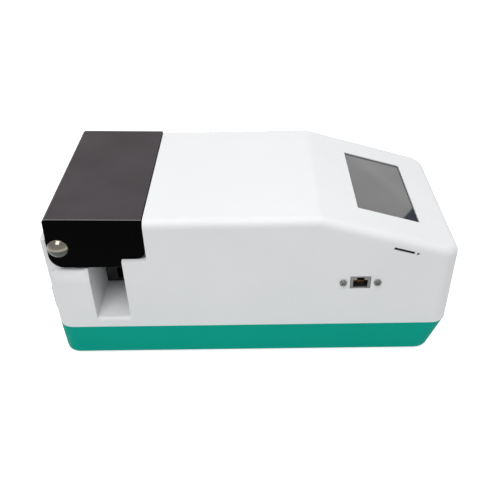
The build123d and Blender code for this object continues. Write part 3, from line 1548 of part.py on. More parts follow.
# Fan behind the back slots
y_fan = y_back - wall
hub_radius = 9.0
blade_tip = fan_bore_radius - 0.8
pin_radius = 1.2
with BuildPart() as fan_frame:
    with BuildSketch(side_plane(y_fan)):
        with Locations((x_fan, z_fan)):
            RectangleRounded(fan_size, fan_size, 3)
            Circle(fan_bore_radius, mode=Mode.SUBTRACT)
    extrude(amount=fan_depth)
    with BuildSketch(side_plane(y_fan - fan_depth + 2)):
        with Locations((x_fan, z_fan)):
            Circle(hub_radius + 1)
            Rectangle(2 * fan_bore_radius + 1, 3)
            Rectangle(3, 2 * fan_bore_radius + 1)
    extrude(amount=2)
    with BuildSketch(side_plane(y_fan - 1)):
        with Locations((x_fan, z_fan)):
            Circle(pin_radius)
    extrude(amount=fan_depth - 2)
keep(fan_frame.part, "fan_frame")

with BuildPart() as fan_rotor:
    with BuildSketch(side_plane(y_fan - 1)):
        with Locations((x_fan, z_fan)):
            Circle(hub_radius)
            Circle(pin_radius + running_gap, mode=Mode.SUBTRACT)
    extrude(amount=fan_depth - 3 - gap)
    with BuildSketch(side_plane(y_fan - 2)):
        with Locations((x_fan, z_fan)):
            with PolarLocations(0, 7):
                with Locations((hub_radius + (blade_tip - hub_radius) / 2 - 0.3, 0)):
                    Rectangle(blade_tip - hub_radius + 0.6, 2, rotation=18)
    extrude(amount=fan_depth - 5)
keep(fan_rotor.part, "fan_rotor")
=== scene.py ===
"""Dresses a bench microplate sealer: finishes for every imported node, and the small pieces that finish it."""
import itertools
import json
import logging
import math
from dataclasses import dataclass
from enum import Enum

import bpy
from mathutils import Matrix, Vector


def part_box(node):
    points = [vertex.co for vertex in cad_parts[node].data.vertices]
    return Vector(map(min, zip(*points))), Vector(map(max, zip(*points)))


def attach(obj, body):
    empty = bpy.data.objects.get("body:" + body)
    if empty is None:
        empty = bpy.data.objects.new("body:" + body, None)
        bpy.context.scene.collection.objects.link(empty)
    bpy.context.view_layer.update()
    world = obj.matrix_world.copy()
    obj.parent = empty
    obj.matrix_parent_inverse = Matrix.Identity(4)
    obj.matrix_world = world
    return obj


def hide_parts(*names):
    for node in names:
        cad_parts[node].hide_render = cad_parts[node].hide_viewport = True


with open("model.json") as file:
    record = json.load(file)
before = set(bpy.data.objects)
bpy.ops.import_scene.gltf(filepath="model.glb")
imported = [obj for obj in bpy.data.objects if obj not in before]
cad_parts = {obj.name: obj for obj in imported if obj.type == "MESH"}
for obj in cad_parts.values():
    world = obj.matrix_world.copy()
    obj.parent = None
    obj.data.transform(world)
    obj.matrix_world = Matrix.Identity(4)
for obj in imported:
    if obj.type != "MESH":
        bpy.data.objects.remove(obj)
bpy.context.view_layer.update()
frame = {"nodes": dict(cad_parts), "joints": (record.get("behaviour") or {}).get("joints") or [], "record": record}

MM = 0.001
X_AXIS = Vector((1.0, 0.0, 0.0))
Y_AXIS = Vector((0.0, 1.0, 0.0))
Z_AXIS = Vector((0.0, 0.0, 1.0))
ORIGIN = Vector((0.0, 0.0, 0.0))
SLOPE_TURN = Matrix.Rotation(math.radians(16.583), 4, "Y")
DOWN_SLOPE = SLOPE_TURN.to_3x3() @ X_AXIS
OFF_SLOPE = SLOPE_TURN.to_3x3() @ Z_AXIS
FRONT = Vector((0.0, -1.0, 0.0))
DOWN = Vector((0.0, 0.0, -1.0))
LOG = logging.getLogger("sealer")
Material = bpy.types.Material
Piece = bpy.types.Object
Socket = bpy.types.NodeSocket


class Grain(Enum):
    """Ways that a surface can be textured."""

    SPARK = "spark"
    SATIN = "satin"
    BRUSHED_X = "brushed_x"
    BRUSHED_Y = "brushed_y"
    TURNED = "turned"


@dataclass(frozen=True)
class Finish:
    """One surface finish, from its colour and gloss to its grain.

    Attributes:
        name: Name of the material.
        color: Linear base colour.
        tint: Linear colour that slow mottling leans towards.
        roughness: Middle roughness.
        metallic: 0 for plastic and paint, 1 for bare metal.
        grain: Kind of fine texture.
        grain_size: Size of one grain in millimetres.
        grain_depth: Depth of the grain in millimetres.
        wear: Share of scuffs that show, from 0 to 1.
        coat: Clear coat weight.
        specular: Specular level of the shader.
    """

    name: str
    color: tuple[float, float, float]
    tint: tuple[float, float, float]
    roughness: float
    metallic: float = 0.0
    grain: Grain = Grain.SATIN
    grain_size: float = 0.6
    grain_depth: float = 0.01
    wear: float = 0.15
    coat: float = 0.0
    specular: float = 0.5


FINISHES: dict[str, Finish] = {
    "housing_white": Finish("moulded_white", (0.80, 0.81, 0.82), (0.77, 0.785, 0.80), 0.5,
                            grain=Grain.SPARK, grain_size=0.9, grain_depth=0.02, wear=0.1, specular=0.35),
    "base_teal": Finish("moulded_teal", (0.0012, 0.365, 0.275), (0.001, 0.345, 0.26), 0.55,
                        grain=Grain.SPARK, grain_size=0.9, grain_depth=0.016, wear=0.08, specular=0.05),
    "black_rubber": Finish("black_rubber", (0.018, 0.018, 0.019), (0.03, 0.03, 0.03), 0.78,
                           grain=Grain.SPARK, grain_size=0.5, grain_depth=0.02, wear=0.3),
    "steel": Finish("turned_steel", (0.56, 0.57, 0.58), (0.46, 0.47, 0.49), 0.28, 1.0,
                    Grain.TURNED, 0.35, 0.004, 0.3),
    "dull_nickel": Finish("dull_nickel", (0.17, 0.17, 0.165), (0.11, 0.11, 0.105), 0.34, 1.0,
                          Grain.SATIN, 0.5, 0.006, 0.4),
    "sheet_steel": Finish("zinc_sheet", (0.60, 0.62, 0.63), (0.50, 0.52, 0.55), 0.38, 1.0,
                          Grain.BRUSHED_X, 0.4, 0.004, 0.35),
    "black_sheet": Finish("black_powder_coat", (0.014, 0.014, 0.015), (0.024, 0.024, 0.025), 0.48,
                          grain=Grain.SPARK, grain_size=0.7, grain_depth=0.03, wear=0.2),
    "core_board": Finish("wound_board", (0.36, 0.24, 0.14), (0.27, 0.17, 0.09), 0.85,
                         grain=Grain.TURNED, grain_size=0.8, grain_depth=0.03, wear=0.3),
    "black_plastic": Finish("black_moulding", (0.014, 0.014, 0.015), (0.022, 0.022, 0.023), 0.42,
                            grain=Grain.SPARK, grain_size=0.6, grain_depth=0.012, wear=0.2),
    "brass": Finish("turned_brass", (0.68, 0.46, 0.17), (0.55, 0.35, 0.12), 0.26, 1.0,
                    Grain.TURNED, 0.35, 0.004, 0.3),
    "motor_black": Finish("motor_lacquer", (0.02, 0.02, 0.022), (0.035, 0.035, 0.038), 0.36,
                          grain=Grain.SATIN, grain_size=0.8, grain_depth=0.01, wear=0.3),
    "aluminium": Finish("anodised_aluminium", (0.68, 0.69, 0.70), (0.60, 0.61, 0.63), 0.36, 1.0,
                        Grain.BRUSHED_Y, 0.35, 0.004, 0.2),
    "insulation": Finish("fibre_board", (0.62, 0.53, 0.36), (0.52, 0.43, 0.28), 0.9,
                         grain=Grain.SPARK, grain_size=1.2, grain_depth=0.05, wear=0.3),
    "circuit_board": Finish("solder_mask", (0.012, 0.12, 0.045), (0.008, 0.085, 0.032), 0.32,
                            grain=Grain.SATIN, grain_size=1.5, grain_depth=0.01, wear=0.1, coat=0.3),
}


class NodeTree:
    """Short hand for wiring shader nodes.

    Args:
        tree: The node tree that is filled.
    """

    def __init__(self, tree: bpy.types.NodeTree) -> None:
        """Keeps the tree."""
        self.tree = tree

    def put(self, socket: Socket, value: object) -> None:
        """Links an output socket to an input, or sets a plain value on it."""
        if isinstance(value, Socket):
            self.tree.links.new(value, socket)
        elif socket.type == "RGBA" and len(value) == 3:
            socket.default_value = (*value, 1.0)
        else:
            socket.default_value = value

    def add(self, kind: str, **settings: object) -> bpy.types.Node:
        """Adds a node with these properties, such as its operation."""
        node = self.tree.nodes.new(kind)
        for name, value in settings.items():
            setattr(node, name, value)
        return node

    def feed(self, node: bpy.types.Node, **values: object) -> bpy.types.Node:
        """Sets or links a node's inputs by name, with underscores for spaces, and returns the node."""
        for name, value in values.items():
            self.put(node.inputs[name.replace("_", " ")], value)
        return node

    def math(self, operation: str, *values: object) -> Socket:
        """Adds a math node on one to three values and returns its output."""
        node = self.add("ShaderNodeMath", operation=operation)
        for socket, value in zip(node.inputs, values):
            self.put(socket, value)
        return node.outputs[0]

    def vector(self, operation: str, *values: object) -> bpy.types.Node:
        """Adds a vector math node on one to three vectors and returns the node."""
        node = self.add("ShaderNodeVectorMath", operation=operation)
        for socket, value in zip(node.inputs, values):
            self.put(socket, value)
        return node

    def split(self, vector: Socket) -> bpy.types.NodeOutputs:
        """Splits a vector and returns the outputs X, Y and Z."""
        node = self.add("ShaderNodeSeparateXYZ")
        self.put(node.inputs[0], vector)
        return node.outputs

    def ramp(self, value: object, low: float, high: float, to_low: float = 0.0,
             to_high: float = 1.0) -> Socket:
        """Maps a value from one range to another, clamped, and returns the result."""
        node = self.add("ShaderNodeMapRange", clamp=True)
        for socket, item in zip(node.inputs, (value, low, high, to_low, to_high)):
            self.put(socket, item)
        return node.outputs[0]

    def noise(self, vector: Socket, scale: float, detail: float = 2.0,
              roughness: float = 0.5) -> Socket:
        """Adds a noise texture on a vector and returns its value."""
        node = self.add("ShaderNodeTexNoise")
        self.feed(node, Vector=vector, Scale=scale, Detail=detail, Roughness=roughness)
        return node.outputs["Fac"]

    def blend(self, factor: object, first: object, second: object) -> Socket:
        """Mixes two colours by a factor and returns the colour."""
        node = self.add("ShaderNodeMix", data_type="RGBA")
        colours = [socket for socket in node.inputs if socket.type == "RGBA"]
        for socket, value in ((node.inputs[0], factor), (colours[0], first), (colours[1], second)):
            self.put(socket, value)
        return [socket for socket in node.outputs if socket.type == "RGBA"][0]


class SurfaceGroups:
    """The node groups that several materials share: fine grain and light scuffs."""

    def __init__(self) -> None:
        """Builds each group once."""
        self.grain = {kind: self._grain_group(kind) for kind in Grain}
        self.scuffs = self._scuff_group()

    @staticmethod
    def _new_group(name: str, inputs: dict[str, str], outputs: dict[str, str]) -> bpy.types.NodeTree:
        """Makes an empty group with named sockets.

        Args:
            name: Name of the group.
            inputs: Socket type of each input, by name.
            outputs: Socket type of each output, by name.

        Returns:
            The node group.
        """
        group = bpy.data.node_groups.new(name, "ShaderNodeTree")
        for socket, kind in inputs.items():
            group.interface.new_socket(socket, in_out="INPUT", socket_type=kind)
        for socket, kind in outputs.items():
            group.interface.new_socket(socket, in_out="OUTPUT", socket_type=kind)
        return group

    def _grain_group(self, kind: Grain) -> bpy.types.NodeTree:
        """Height of the fine grain and a slow mottling mask, for one kind of surface."""
        group = self._new_group(f"grain_{kind.value}",
                                {"Vector": "NodeSocketVector", "Scale": "NodeSocketFloat"},
                                {"Height": "NodeSocketFloat", "Mottle": "NodeSocketFloat"})
        net = NodeTree(group)
        source = net.add("NodeGroupInput")
        sink = net.add("NodeGroupOutput")
        stretch = {
            Grain.SPARK: (1, 1, 1),
            Grain.SATIN: (1, 1, 1),
            Grain.BRUSHED_X: (0.03, 1, 1),
            Grain.BRUSHED_Y: (1, 0.03, 1),
            Grain.TURNED: (1, 0.12, 1),
        }[kind]
        squeezed = net.vector("MULTIPLY", source.outputs["Vector"], stretch).outputs[0]
        height = net.noise(squeezed, source.outputs["Scale"], 3.0 if kind is Grain.SPARK else 5.0)
        if kind is Grain.SPARK:
            cells = net.add("ShaderNodeTexVoronoi", feature="SMOOTH_F1")
            net.feed(cells, Vector=source.outputs["Vector"], Scale=source.outputs["Scale"])
            height = net.math("ADD", net.math("MULTIPLY", height, 0.55),
                              net.math("MULTIPLY", cells.outputs["Distance"], 0.6))
        slow = net.noise(source.outputs["Vector"], 14.0, 4.0, 0.6)
        net.feed(sink, Height=height, Mottle=net.ramp(slow, 0.3, 0.75))
        return group

    def _scuff_group(self) -> bpy.types.NodeTree:
        """Sparse fine scratches and dull rubbed patches."""
        group = self._new_group("scuffs", {"Vector": "NodeSocketVector", "Amount": "NodeSocketFloat"},
                                {"Scratches": "NodeSocketFloat", "Patches": "NodeSocketFloat"})
        net = NodeTree(group)
        source = net.add("NodeGroupInput")
        sink = net.add("NodeGroupOutput")
        swirl = net.add("ShaderNodeTexNoise")
        net.feed(swirl, Vector=source.outputs["Vector"], Scale=9.0, Detail=1.0)
        bend = (0.05, 0.05, 0.05)
        bent = net.vector("MULTIPLY_ADD", swirl.outputs["Color"], bend, source.outputs["Vector"])
        lines = net.add("ShaderNodeTexVoronoi", feature="DISTANCE_TO_EDGE")
        net.feed(lines, Vector=bent.outputs[0], Scale=26.0)
        thin = net.ramp(lines.outputs["Distance"], 0.0, 0.006, 1.0, 0.0)
        where = net.ramp(net.noise(source.outputs["Vector"], 21.0, 2.0), 0.56, 0.66)
        scratches = net.math("MULTIPLY", net.math("MULTIPLY", thin, where), source.outputs["Amount"])
        patches = net.ramp(net.noise(source.outputs["Vector"], 33.0, 6.0, 0.65), 0.5, 0.8)
        net.feed(sink, Scratches=scratches, Patches=net.math("MULTIPLY", patches, source.outputs["Amount"]))
        return group


class Finisher:
    """Makes materials from finishes and puts them on nodes and pieces."""

    def __init__(self) -> None:
        """Builds the shared groups and starts with no materials."""
        self.groups = SurfaceGroups()
        self.made: dict[str, Material] = {}

    def _start(self, name: str) -> tuple[Material, NodeTree, bpy.types.Node, Socket]:
        """Makes an empty material.

        Args:
            name: Name of the material.

        Returns:
            The material, its tree, its Principled shader and its object coordinates.
        """
        material = bpy.data.materials.new(name)
        material.use_nodes = True
        material.node_tree.nodes.clear()
        net = NodeTree(material.node_tree)
        shader = net.add("ShaderNodeBsdfPrincipled")
        out = net.add("ShaderNodeOutputMaterial")
        net.put(out.inputs[0], shader.outputs[0])
        coords = net.add("ShaderNodeTexCoord").outputs["Object"]
        return material, net, shader, coords

    def _surface(self, net: NodeTree, coords: Socket, grain: Grain, size: float,
                 wear: float) -> dict[str, Socket]:
        """Places the shared groups in a material.

        Args:
            net: The material's tree.
            coords: Object coordinates.
            grain: Kind of grain.
            size: Grain size in millimetres.
            wear: Share of scuffs.

        Returns:
            The Height, Mottle, Scratches and Patches sockets.
        """
        fine = net.add("ShaderNodeGroup", node_tree=self.groups.grain[grain])
        net.feed(fine, Vector=coords, Scale=1.0 / (size * MM))
        scuff = net.add("ShaderNodeGroup", node_tree=self.groups.scuffs)
        net.feed(scuff, Vector=coords, Amount=wear)
        return {"Height": fine.outputs["Height"], "Mottle": fine.outputs["Mottle"],
                "Scratches": scuff.outputs["Scratches"], "Patches": scuff.outputs["Patches"]}

    @staticmethod
    def _bump(net: NodeTree, shader: bpy.types.Node, height: Socket, depth: float) -> None:
        """Feeds a height to the shader's normal, with its depth in millimetres."""
        bump = net.add("ShaderNodeBump")
        net.feed(bump, Strength=1.0, Distance=depth * MM, Height=height)
        net.put(shader.inputs["Normal"], bump.outputs[0])

    def plain(self, finish: Finish) -> Material:
        """Makes the material of one finish, once.

        Args:
            finish: The finish to build.

        Returns:
            The material.
        """
        if finish.name in self.made:
            return self.made[finish.name]
        material, net, shader, coords = self._start(finish.name)
        parts = self._surface(net, coords, finish.grain, finish.grain_size, finish.wear)
        color = net.blend(parts["Mottle"], finish.color, finish.tint)
        color = net.blend(parts["Scratches"], color, tuple(min(1.0, c * 1.5 + 0.02) for c in finish.color))
        net.feed(shader, Base_Color=color, Metallic=finish.metallic, Specular_IOR_Level=finish.specular,
                 Coat_Weight=finish.coat, Coat_Roughness=0.1)
        rough = net.math("ADD", net.math("MULTIPLY", parts["Patches"], 0.25),
                         net.math("MULTIPLY_ADD", parts["Mottle"], 0.06, finish.roughness - 0.03))
        net.feed(shader, Roughness=rough)
        self._bump(net, shader, parts["Height"], finish.grain_depth)
        self.made[finish.name] = material
        return material

    def lid(self, top: float) -> Material:
        """Black acrylic lid: deep black flaps, and a top painted lighter grey as painted sheen, with wiping
        scratches, and a painted highlight along the front fold.

        Args:
            top: Height above which a face belongs to the lid's top, in metres.

        Returns:
            The material.
        """
        material, net, shader, coords = self._start("lid_black")
        parts = self._surface(net, coords, Grain.SATIN, 2.0, 0.5)
        facing_up = net.split(coords.node.outputs["Normal"])["Z"]
        # Painted sheen: the top is painted a lighter mottled grey than the black flaps, standing for the overhead
        # light's reflection on the acrylic.
        up = net.ramp(facing_up, 0.75, 0.95)
        top_sheen_mask = net.math("MULTIPLY", up, net.ramp(net.split(coords)["Z"], top - 2.0 * MM, top))
        top_sheen = net.blend(parts["Mottle"], (0.060, 0.054, 0.058), (0.079, 0.071, 0.076))
        scratched_sheen = net.blend(parts["Scratches"], top_sheen, (0.018, 0.017, 0.018))
        # Painted highlight: a light grey line along the front fold, where the faces turn between top and flap.
        fold_highlight = net.math("MULTIPLY", net.ramp(facing_up, 0.25, 0.6), net.ramp(facing_up, 0.8, 0.97, 1.0, 0.0))
        color = net.blend(top_sheen_mask, (0.0003, 0.0003, 0.0003), scratched_sheen)
        color = net.blend(fold_highlight, color, (0.20, 0.19, 0.19))
        net.feed(shader, Base_Color=color, Specular_IOR_Level=0.015)
        dull = net.math("MULTIPLY_ADD", parts["Patches"], 0.1, 0.3)
        net.feed(shader, Roughness=net.math("MULTIPLY_ADD", top_sheen_mask, dull, 0.06))
        self._bump(net, shader, parts["Height"], 0.004)
        return material

    def chrome(self) -> Material:
        """Polished chrome with a painted reflection: warm greys painted on the faces that point up, a thin dark
        painted line where they turn sideways, and cool grey on the faces that point down.
        """
        material, net, shader, coords = self._start("polished_chrome")
        parts = self._surface(net, coords, Grain.SATIN, 3.0, 0.2)
        facing_up = net.split(net.add("ShaderNodeNewGeometry").outputs["Normal"])["Z"]
        # Painted reflection: the faces that point up take warm greys that stand for the lit space above.
        upper = net.blend(net.ramp(facing_up, 0.05, 0.55), (0.20, 0.18, 0.145), (0.13, 0.12, 0.10))
        painted_reflection = net.blend(net.ramp(facing_up, -0.02, 0.03), (0.028, 0.036, 0.027), upper)
        # Painted reflection: a thin dark line where the faces turn sideways.
        painted_horizon_line = net.ramp(net.math("ABSOLUTE", facing_up), 0.02, 0.07, 1.0, 0.0)
        painted_reflection = net.blend(painted_horizon_line, painted_reflection, (0.02, 0.02, 0.02))
        worn = net.math("MULTIPLY", parts["Mottle"], 0.12)
        net.feed(shader, Base_Color=net.blend(worn, painted_reflection, (0.5, 0.5, 0.5)), Metallic=1.0,
                 Roughness=net.math("MULTIPLY_ADD", parts["Patches"], 0.08, 0.05))
        self._bump(net, shader, parts["Height"], 0.002)
        return material

    def film(self, centre: Vector) -> Material:
        """Clear brownish film, wound in fine rings about the spool's axis.

        Args:
            centre: A point on the spool's axis, in metres.

        Returns:
            The material.
        """
        material, net, shader, coords = self._start("wound_film")
        away = net.vector("SUBTRACT", coords, tuple(centre)).outputs[0]
        flat = net.vector("MULTIPLY", away, (1.0, 0.0, 1.0)).outputs[0]
        ring = net.add("ShaderNodeCombineXYZ")
        net.put(ring.inputs[0], net.vector("LENGTH", flat).outputs["Value"])
        lines = net.ramp(net.noise(ring.outputs[0], 2600.0, 3.0, 0.7), 0.3, 0.7)
        bands = net.ramp(net.noise(ring.outputs[0], 260.0, 2.0), 0.35, 0.65)
        warm = net.blend(bands, (0.23, 0.16, 0.11), (0.36, 0.27, 0.20))
        color = net.blend(net.math("MULTIPLY", lines, 0.5), warm, (0.13, 0.09, 0.06))
        net.feed(shader, Base_Color=color, Coat_Weight=0.5, Coat_Roughness=0.15)
        net.feed(shader, Roughness=net.math("MULTIPLY_ADD", bands, 0.12, 0.28))
        self._bump(net, shader, lines, 0.01)
        return material

    def motor(self, name: str, low: float, high: float, axis: str) -> Material:
        """Stepper motor: cast ends over a black laminated middle.

        Args:
            name: Name of the material.
            low: Where the motor starts along its shaft, in metres.
            high: Where it ends, in metres.
            axis: The shaft's axis, X, Y or Z.

        Returns:
            The material.
        """
        material, net, shader, coords = self._start(name)
        parts = self._surface(net, coords, Grain.SATIN, 0.8, 0.25)
        along = net.ramp(net.split(coords)[axis], low, high)
        from_middle = net.math("ABSOLUTE", net.math("SUBTRACT", along, 0.5))
        ends = net.ramp(from_middle, 0.245, 0.25)
        sheets = net.ramp(net.math("PINGPONG", net.math("MULTIPLY", along, 36.0), 1.0), 0.25, 0.6)
        lacquer = net.blend(net.math("MULTIPLY", sheets, 0.6), (0.016, 0.016, 0.017), (0.045, 0.045, 0.047))
        cast = net.blend(parts["Mottle"], (0.44, 0.45, 0.46), (0.36, 0.37, 0.38))
        net.feed(shader, Base_Color=net.blend(ends, lacquer, cast), Metallic=ends)
        net.feed(shader, Roughness=net.math("MULTIPLY_ADD", parts["Patches"], 0.15, 0.38))
        grooves = net.math("MULTIPLY", sheets, net.math("SUBTRACT", 1.0, ends))
        self._bump(net, shader, net.math("ADD", grooves, parts["Height"]), 0.02)
        return material

    def board(self) -> Material:
        """Circuit board with fine copper tracks and tinned pads under its green mask."""
        material, net, shader, coords = self._start("printed_board")
        tiles = net.add("ShaderNodeTexVoronoi", feature="F1", distance="CHEBYCHEV")
        net.feed(tiles, Vector=coords, Scale=420.0, Randomness=0.35)
        pads = net.ramp(tiles.outputs["Distance"], 0.16, 0.2, 1.0, 0.0)
        spread = net.ramp(net.noise(coords, 90.0, 1.0), 0.54, 0.58)
        pads = net.math("MULTIPLY", pads, spread)
        paths = net.add("ShaderNodeTexVoronoi", feature="DISTANCE_TO_EDGE")
        net.feed(paths, Vector=coords, Scale=240.0, Randomness=0.6)
        tracks = net.ramp(paths.outputs["Distance"], 0.05, 0.08, 1.0, 0.0)
        mask = net.blend(tracks, (0.008, 0.085, 0.032), (0.03, 0.17, 0.065))
        net.feed(shader, Base_Color=net.blend(pads, mask, (0.55, 0.55, 0.53)), Metallic=pads, Coat_Weight=0.3)
        net.feed(shader, Roughness=net.math("MULTIPLY_ADD", pads, 0.05, 0.3))
        self._bump(net, shader, net.math("ADD", net.math("MULTIPLY", tracks, 0.5), pads), 0.03)
        return material

    def web(self) -> Material:
        """Thin clear sealing film, slightly milky, with faint lengthwise drawing lines."""
        material, net, shader, coords = self._start("clear_film")
        stretched = net.vector("MULTIPLY", coords, (0.05, 1.0, 0.05)).outputs[0]
        lines = net.ramp(net.noise(stretched, 900.0, 3.0), 0.3, 0.7)
        net.feed(shader, Base_Color=net.blend(lines, (0.60, 0.57, 0.50), (0.72, 0.69, 0.62)))
        net.feed(shader, Roughness=net.math("MULTIPLY_ADD", lines, 0.08, 0.14), IOR=1.45)
        net.feed(shader, Alpha=net.math("MULTIPLY_ADD", lines, 0.15, 0.45))
        self._bump(net, shader, lines, 0.005)
        return material

    def screen(self, low: Vector, high: Vector) -> Material:
        """Grey cover glass over a display that is off, with soft clouds, a painted reflection as a brighter
        slanting band, and one dark corner of painted reflection.

        Args:
            low: Lowest corner of the glass, in metres.
            high: Highest corner of the glass, in metres.

        Returns:
            The material.
        """
        material, net, shader, coords = self._start("screen_glass")
        place = net.split(coords)
        across = net.ramp(place["X"], low.x, high.x)
        deep = net.ramp(place["Y"], low.y, high.y)
        clouds = net.ramp(net.noise(coords, 17.0, 3.0, 0.55), 0.3, 0.7)
        # Painted reflection: a brighter slanting band across the glass.
        slant = net.math("ADD", net.math("MULTIPLY", across, 0.9), net.math("MULTIPLY", deep, 1.0))
        band = net.ramp(net.math("ABSOLUTE", net.math("SUBTRACT", slant, 1.22)), 0.0, 0.24, 1.0, 0.0)
        grey = net.blend(clouds, (0.085, 0.085, 0.087), (0.118, 0.118, 0.116))
        grey = net.blend(net.math("MULTIPLY", band, 0.35), grey, (0.17, 0.17, 0.165))
        # Painted reflection: a dark navy corner at high X and low Y, with less coat and specular over it.
        corner = net.ramp(net.math("SUBTRACT", across, net.math("MULTIPLY", deep, 0.993)), 0.615, 0.65)
        color = net.blend(corner, grey, (0.012, 0.015, 0.026))
        clear = net.math("SUBTRACT", 1.0, corner)
        net.feed(shader, Base_Color=color, Coat_Weight=net.math("MULTIPLY", clear, 0.35), Coat_Roughness=0.04)
        net.feed(shader, Specular_IOR_Level=net.math("MULTIPLY_ADD", clear, 0.34, 0.06))
        smear = net.ramp(net.noise(coords, 60.0, 5.0, 0.6), 0.35, 0.7)
        net.feed(shader, Roughness=net.math("MULTIPLY_ADD", smear, 0.05, 0.12))
        self._bump(net, shader, smear, 0.002)
        return material

    def dress(self) -> dict[str, Material]:
        """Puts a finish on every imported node.

        Returns:
            The material of each slot, by the slot's name.
        """
        slots = {entry["node"]: entry["material_slot"] for entry in frame["record"]["subparts"]}
        lid_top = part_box("upper_housing")[1].z
        low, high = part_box("touch_glass")
        roll_low, roll_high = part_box("film_roll")
        materials = {slot: self.plain(finish) for slot, finish in FINISHES.items()}
        materials["lid_black"] = self.lid(lid_top)
        materials["polished_chrome"] = self.chrome()
        materials["seal_film"] = self.film((roll_low + roll_high) / 2)
        materials["screen_glass"] = self.screen(low, high)
        special = {"film_web": self.web(), "controller_board": self.board()}
        for motor, axis in (("press_motor", "Y"), ("feed_motor", "Y"), ("drawer_motor", "Z")):
            low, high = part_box(motor)
            index = "XYZ".index(axis)
            special[motor] = self.motor(f"{motor}_case", low[index], high[index], axis)
        for name, node in frame["nodes"].items():
            node.data.materials.clear()
            node.data.materials.append(special.get(name, materials[slots[name]]))
            LOG.info("dressed %s in %s", name, slots[name])
        return materials


class Workshop:
    """Modelling by hand: primitives, edit mode and applied modifiers, with each piece left at the origin."""

    @staticmethod
    def _only(*pieces: Piece) -> None:
        """Selects these pieces and nothing else, with the first one active."""
        bpy.ops.object.select_all(action="DESELECT")
        for piece in pieces:
            piece.select_set(True)
        bpy.context.view_layer.objects.active = pieces[0]

    @classmethod
    def settle(cls, piece: Piece) -> Piece:
        """Moves a piece's place, turn and size into its mesh."""
        cls._only(piece)
        bpy.ops.object.transform_apply(location=True, rotation=True, scale=True)
        return piece

    @classmethod
    def block(cls, centre: Vector, size: tuple[float, float, float], bevel: float = 0.0,
              segments: int = 2) -> Piece:
        """Makes a block with eased edges.

        Args:
            centre: Its middle, in metres.
            size: Its three sides, in metres.
            bevel: Width of the eased edge, in metres.
            segments: Steps across the eased edge.

        Returns:
            The block.
        """
        bpy.ops.mesh.primitive_cube_add(size=1.0, location=centre, scale=size)
        piece = cls.settle(bpy.context.active_object)
        if bevel:
            cls.modify(piece, "BEVEL", width=bevel, segments=segments)
        return piece

    @classmethod
    def rod(cls, centre: Vector, radius: float, depth: float, axis: Vector, sides: int = 32,
            bevel: float = 0.0) -> Piece:
        """Makes a round bar along an axis.

        Args:
            centre: Its middle, in metres.
            radius: Its radius, in metres.
            depth: Its length, in metres.
            axis: The direction it points in.
            sides: Number of sides.
            bevel: Width of its eased rims, in metres.

        Returns:
            The bar.
        """
        turn = axis.to_track_quat("Z", "Y").to_euler()
        bpy.ops.mesh.primitive_cylinder_add(vertices=sides, radius=radius, depth=depth, location=centre,
                                            rotation=turn)
        piece = cls.settle(bpy.context.active_object)
        if bevel:
            cls.modify(piece, "BEVEL", width=bevel, segments=3, angle_limit=math.radians(40))
        return piece

    @classmethod
    def modify(cls, piece: Piece, kind: str, **settings: object) -> None:
        """Adds one modifier to a piece and applies it.

        Args:
            piece: The piece.
            kind: Modifier type.
            **settings: Modifier properties.
        """
        cls._only(piece)
        modifier = piece.modifiers.new(kind.lower(), kind)
        for name, value in settings.items():
            setattr(modifier, name, value)
        bpy.ops.object.modifier_apply(modifier=modifier.name)

    @classmethod
    def cut(cls, piece: Piece, *tools: Piece) -> None:
        """Cuts tools out of a piece, and removes the tools."""
        for tool in tools:
            cls.modify(piece, "BOOLEAN", operation="DIFFERENCE", object=tool, solver="EXACT")
            cls._only(tool)
            bpy.ops.object.delete()

    @classmethod
    def join(cls, pieces: list[Piece]) -> Piece:
        """Joins pieces into the first one."""
        cls._only(*pieces)
        bpy.ops.object.join()
        return bpy.context.active_object

    @classmethod
    def copy(cls, piece: Piece, step: Vector) -> Piece:
        """Copies a piece with its own mesh, a step away."""
        cls._only(piece)
        bpy.ops.object.duplicate(linked=False)
        twin = bpy.context.active_object
        twin.location = step
        return cls.settle(twin)

    @classmethod
    def place(cls, piece: Piece, frame_matrix: Matrix) -> Piece:
        """Puts a piece that was made at the origin where a matrix says."""
        piece.matrix_world = frame_matrix
        bpy.context.view_layer.update()
        return cls.settle(piece)

    @classmethod
    def bisect(cls, piece: Piece, point: Vector, normal: Vector) -> None:
        """Cuts off what lies on the normal's side of a plane, and closes the cut."""
        cls._only(piece)
        bpy.ops.object.mode_set(mode="EDIT")
        bpy.ops.mesh.select_all(action="SELECT")
        bpy.ops.mesh.bisect(plane_co=point, plane_no=normal, use_fill=True, clear_outer=True)
        bpy.ops.object.mode_set(mode="OBJECT")

    @classmethod
    def done(cls, piece: Piece, name: str, body: str, slot: str, material: Material,
             replaces: tuple[str, ...] = ()) -> Piece:
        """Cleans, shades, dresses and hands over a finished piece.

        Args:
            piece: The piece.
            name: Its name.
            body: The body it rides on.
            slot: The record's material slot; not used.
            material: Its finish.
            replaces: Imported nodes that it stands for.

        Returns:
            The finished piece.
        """
        piece.name = name
        cls._only(piece)
        bpy.ops.object.mode_set(mode="EDIT")
        bpy.ops.mesh.select_all(action="SELECT")
        bpy.ops.mesh.remove_doubles(threshold=1e-6)
        bpy.ops.mesh.normals_make_consistent(inside=False)
        bpy.ops.object.mode_set(mode="OBJECT")
        bpy.ops.object.shade_smooth_by_angle(angle=math.radians(35))
        piece.data.materials.clear()
        piece.data.materials.append(material)
        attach(piece, body)
        if replaces:
            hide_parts(*replaces)
        LOG.info("built %s on %s", name, body)
        return piece


def middle(node: str) -> Vector:
    """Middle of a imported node's box, in metres."""
    low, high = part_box(node)
    return (low + high) / 2


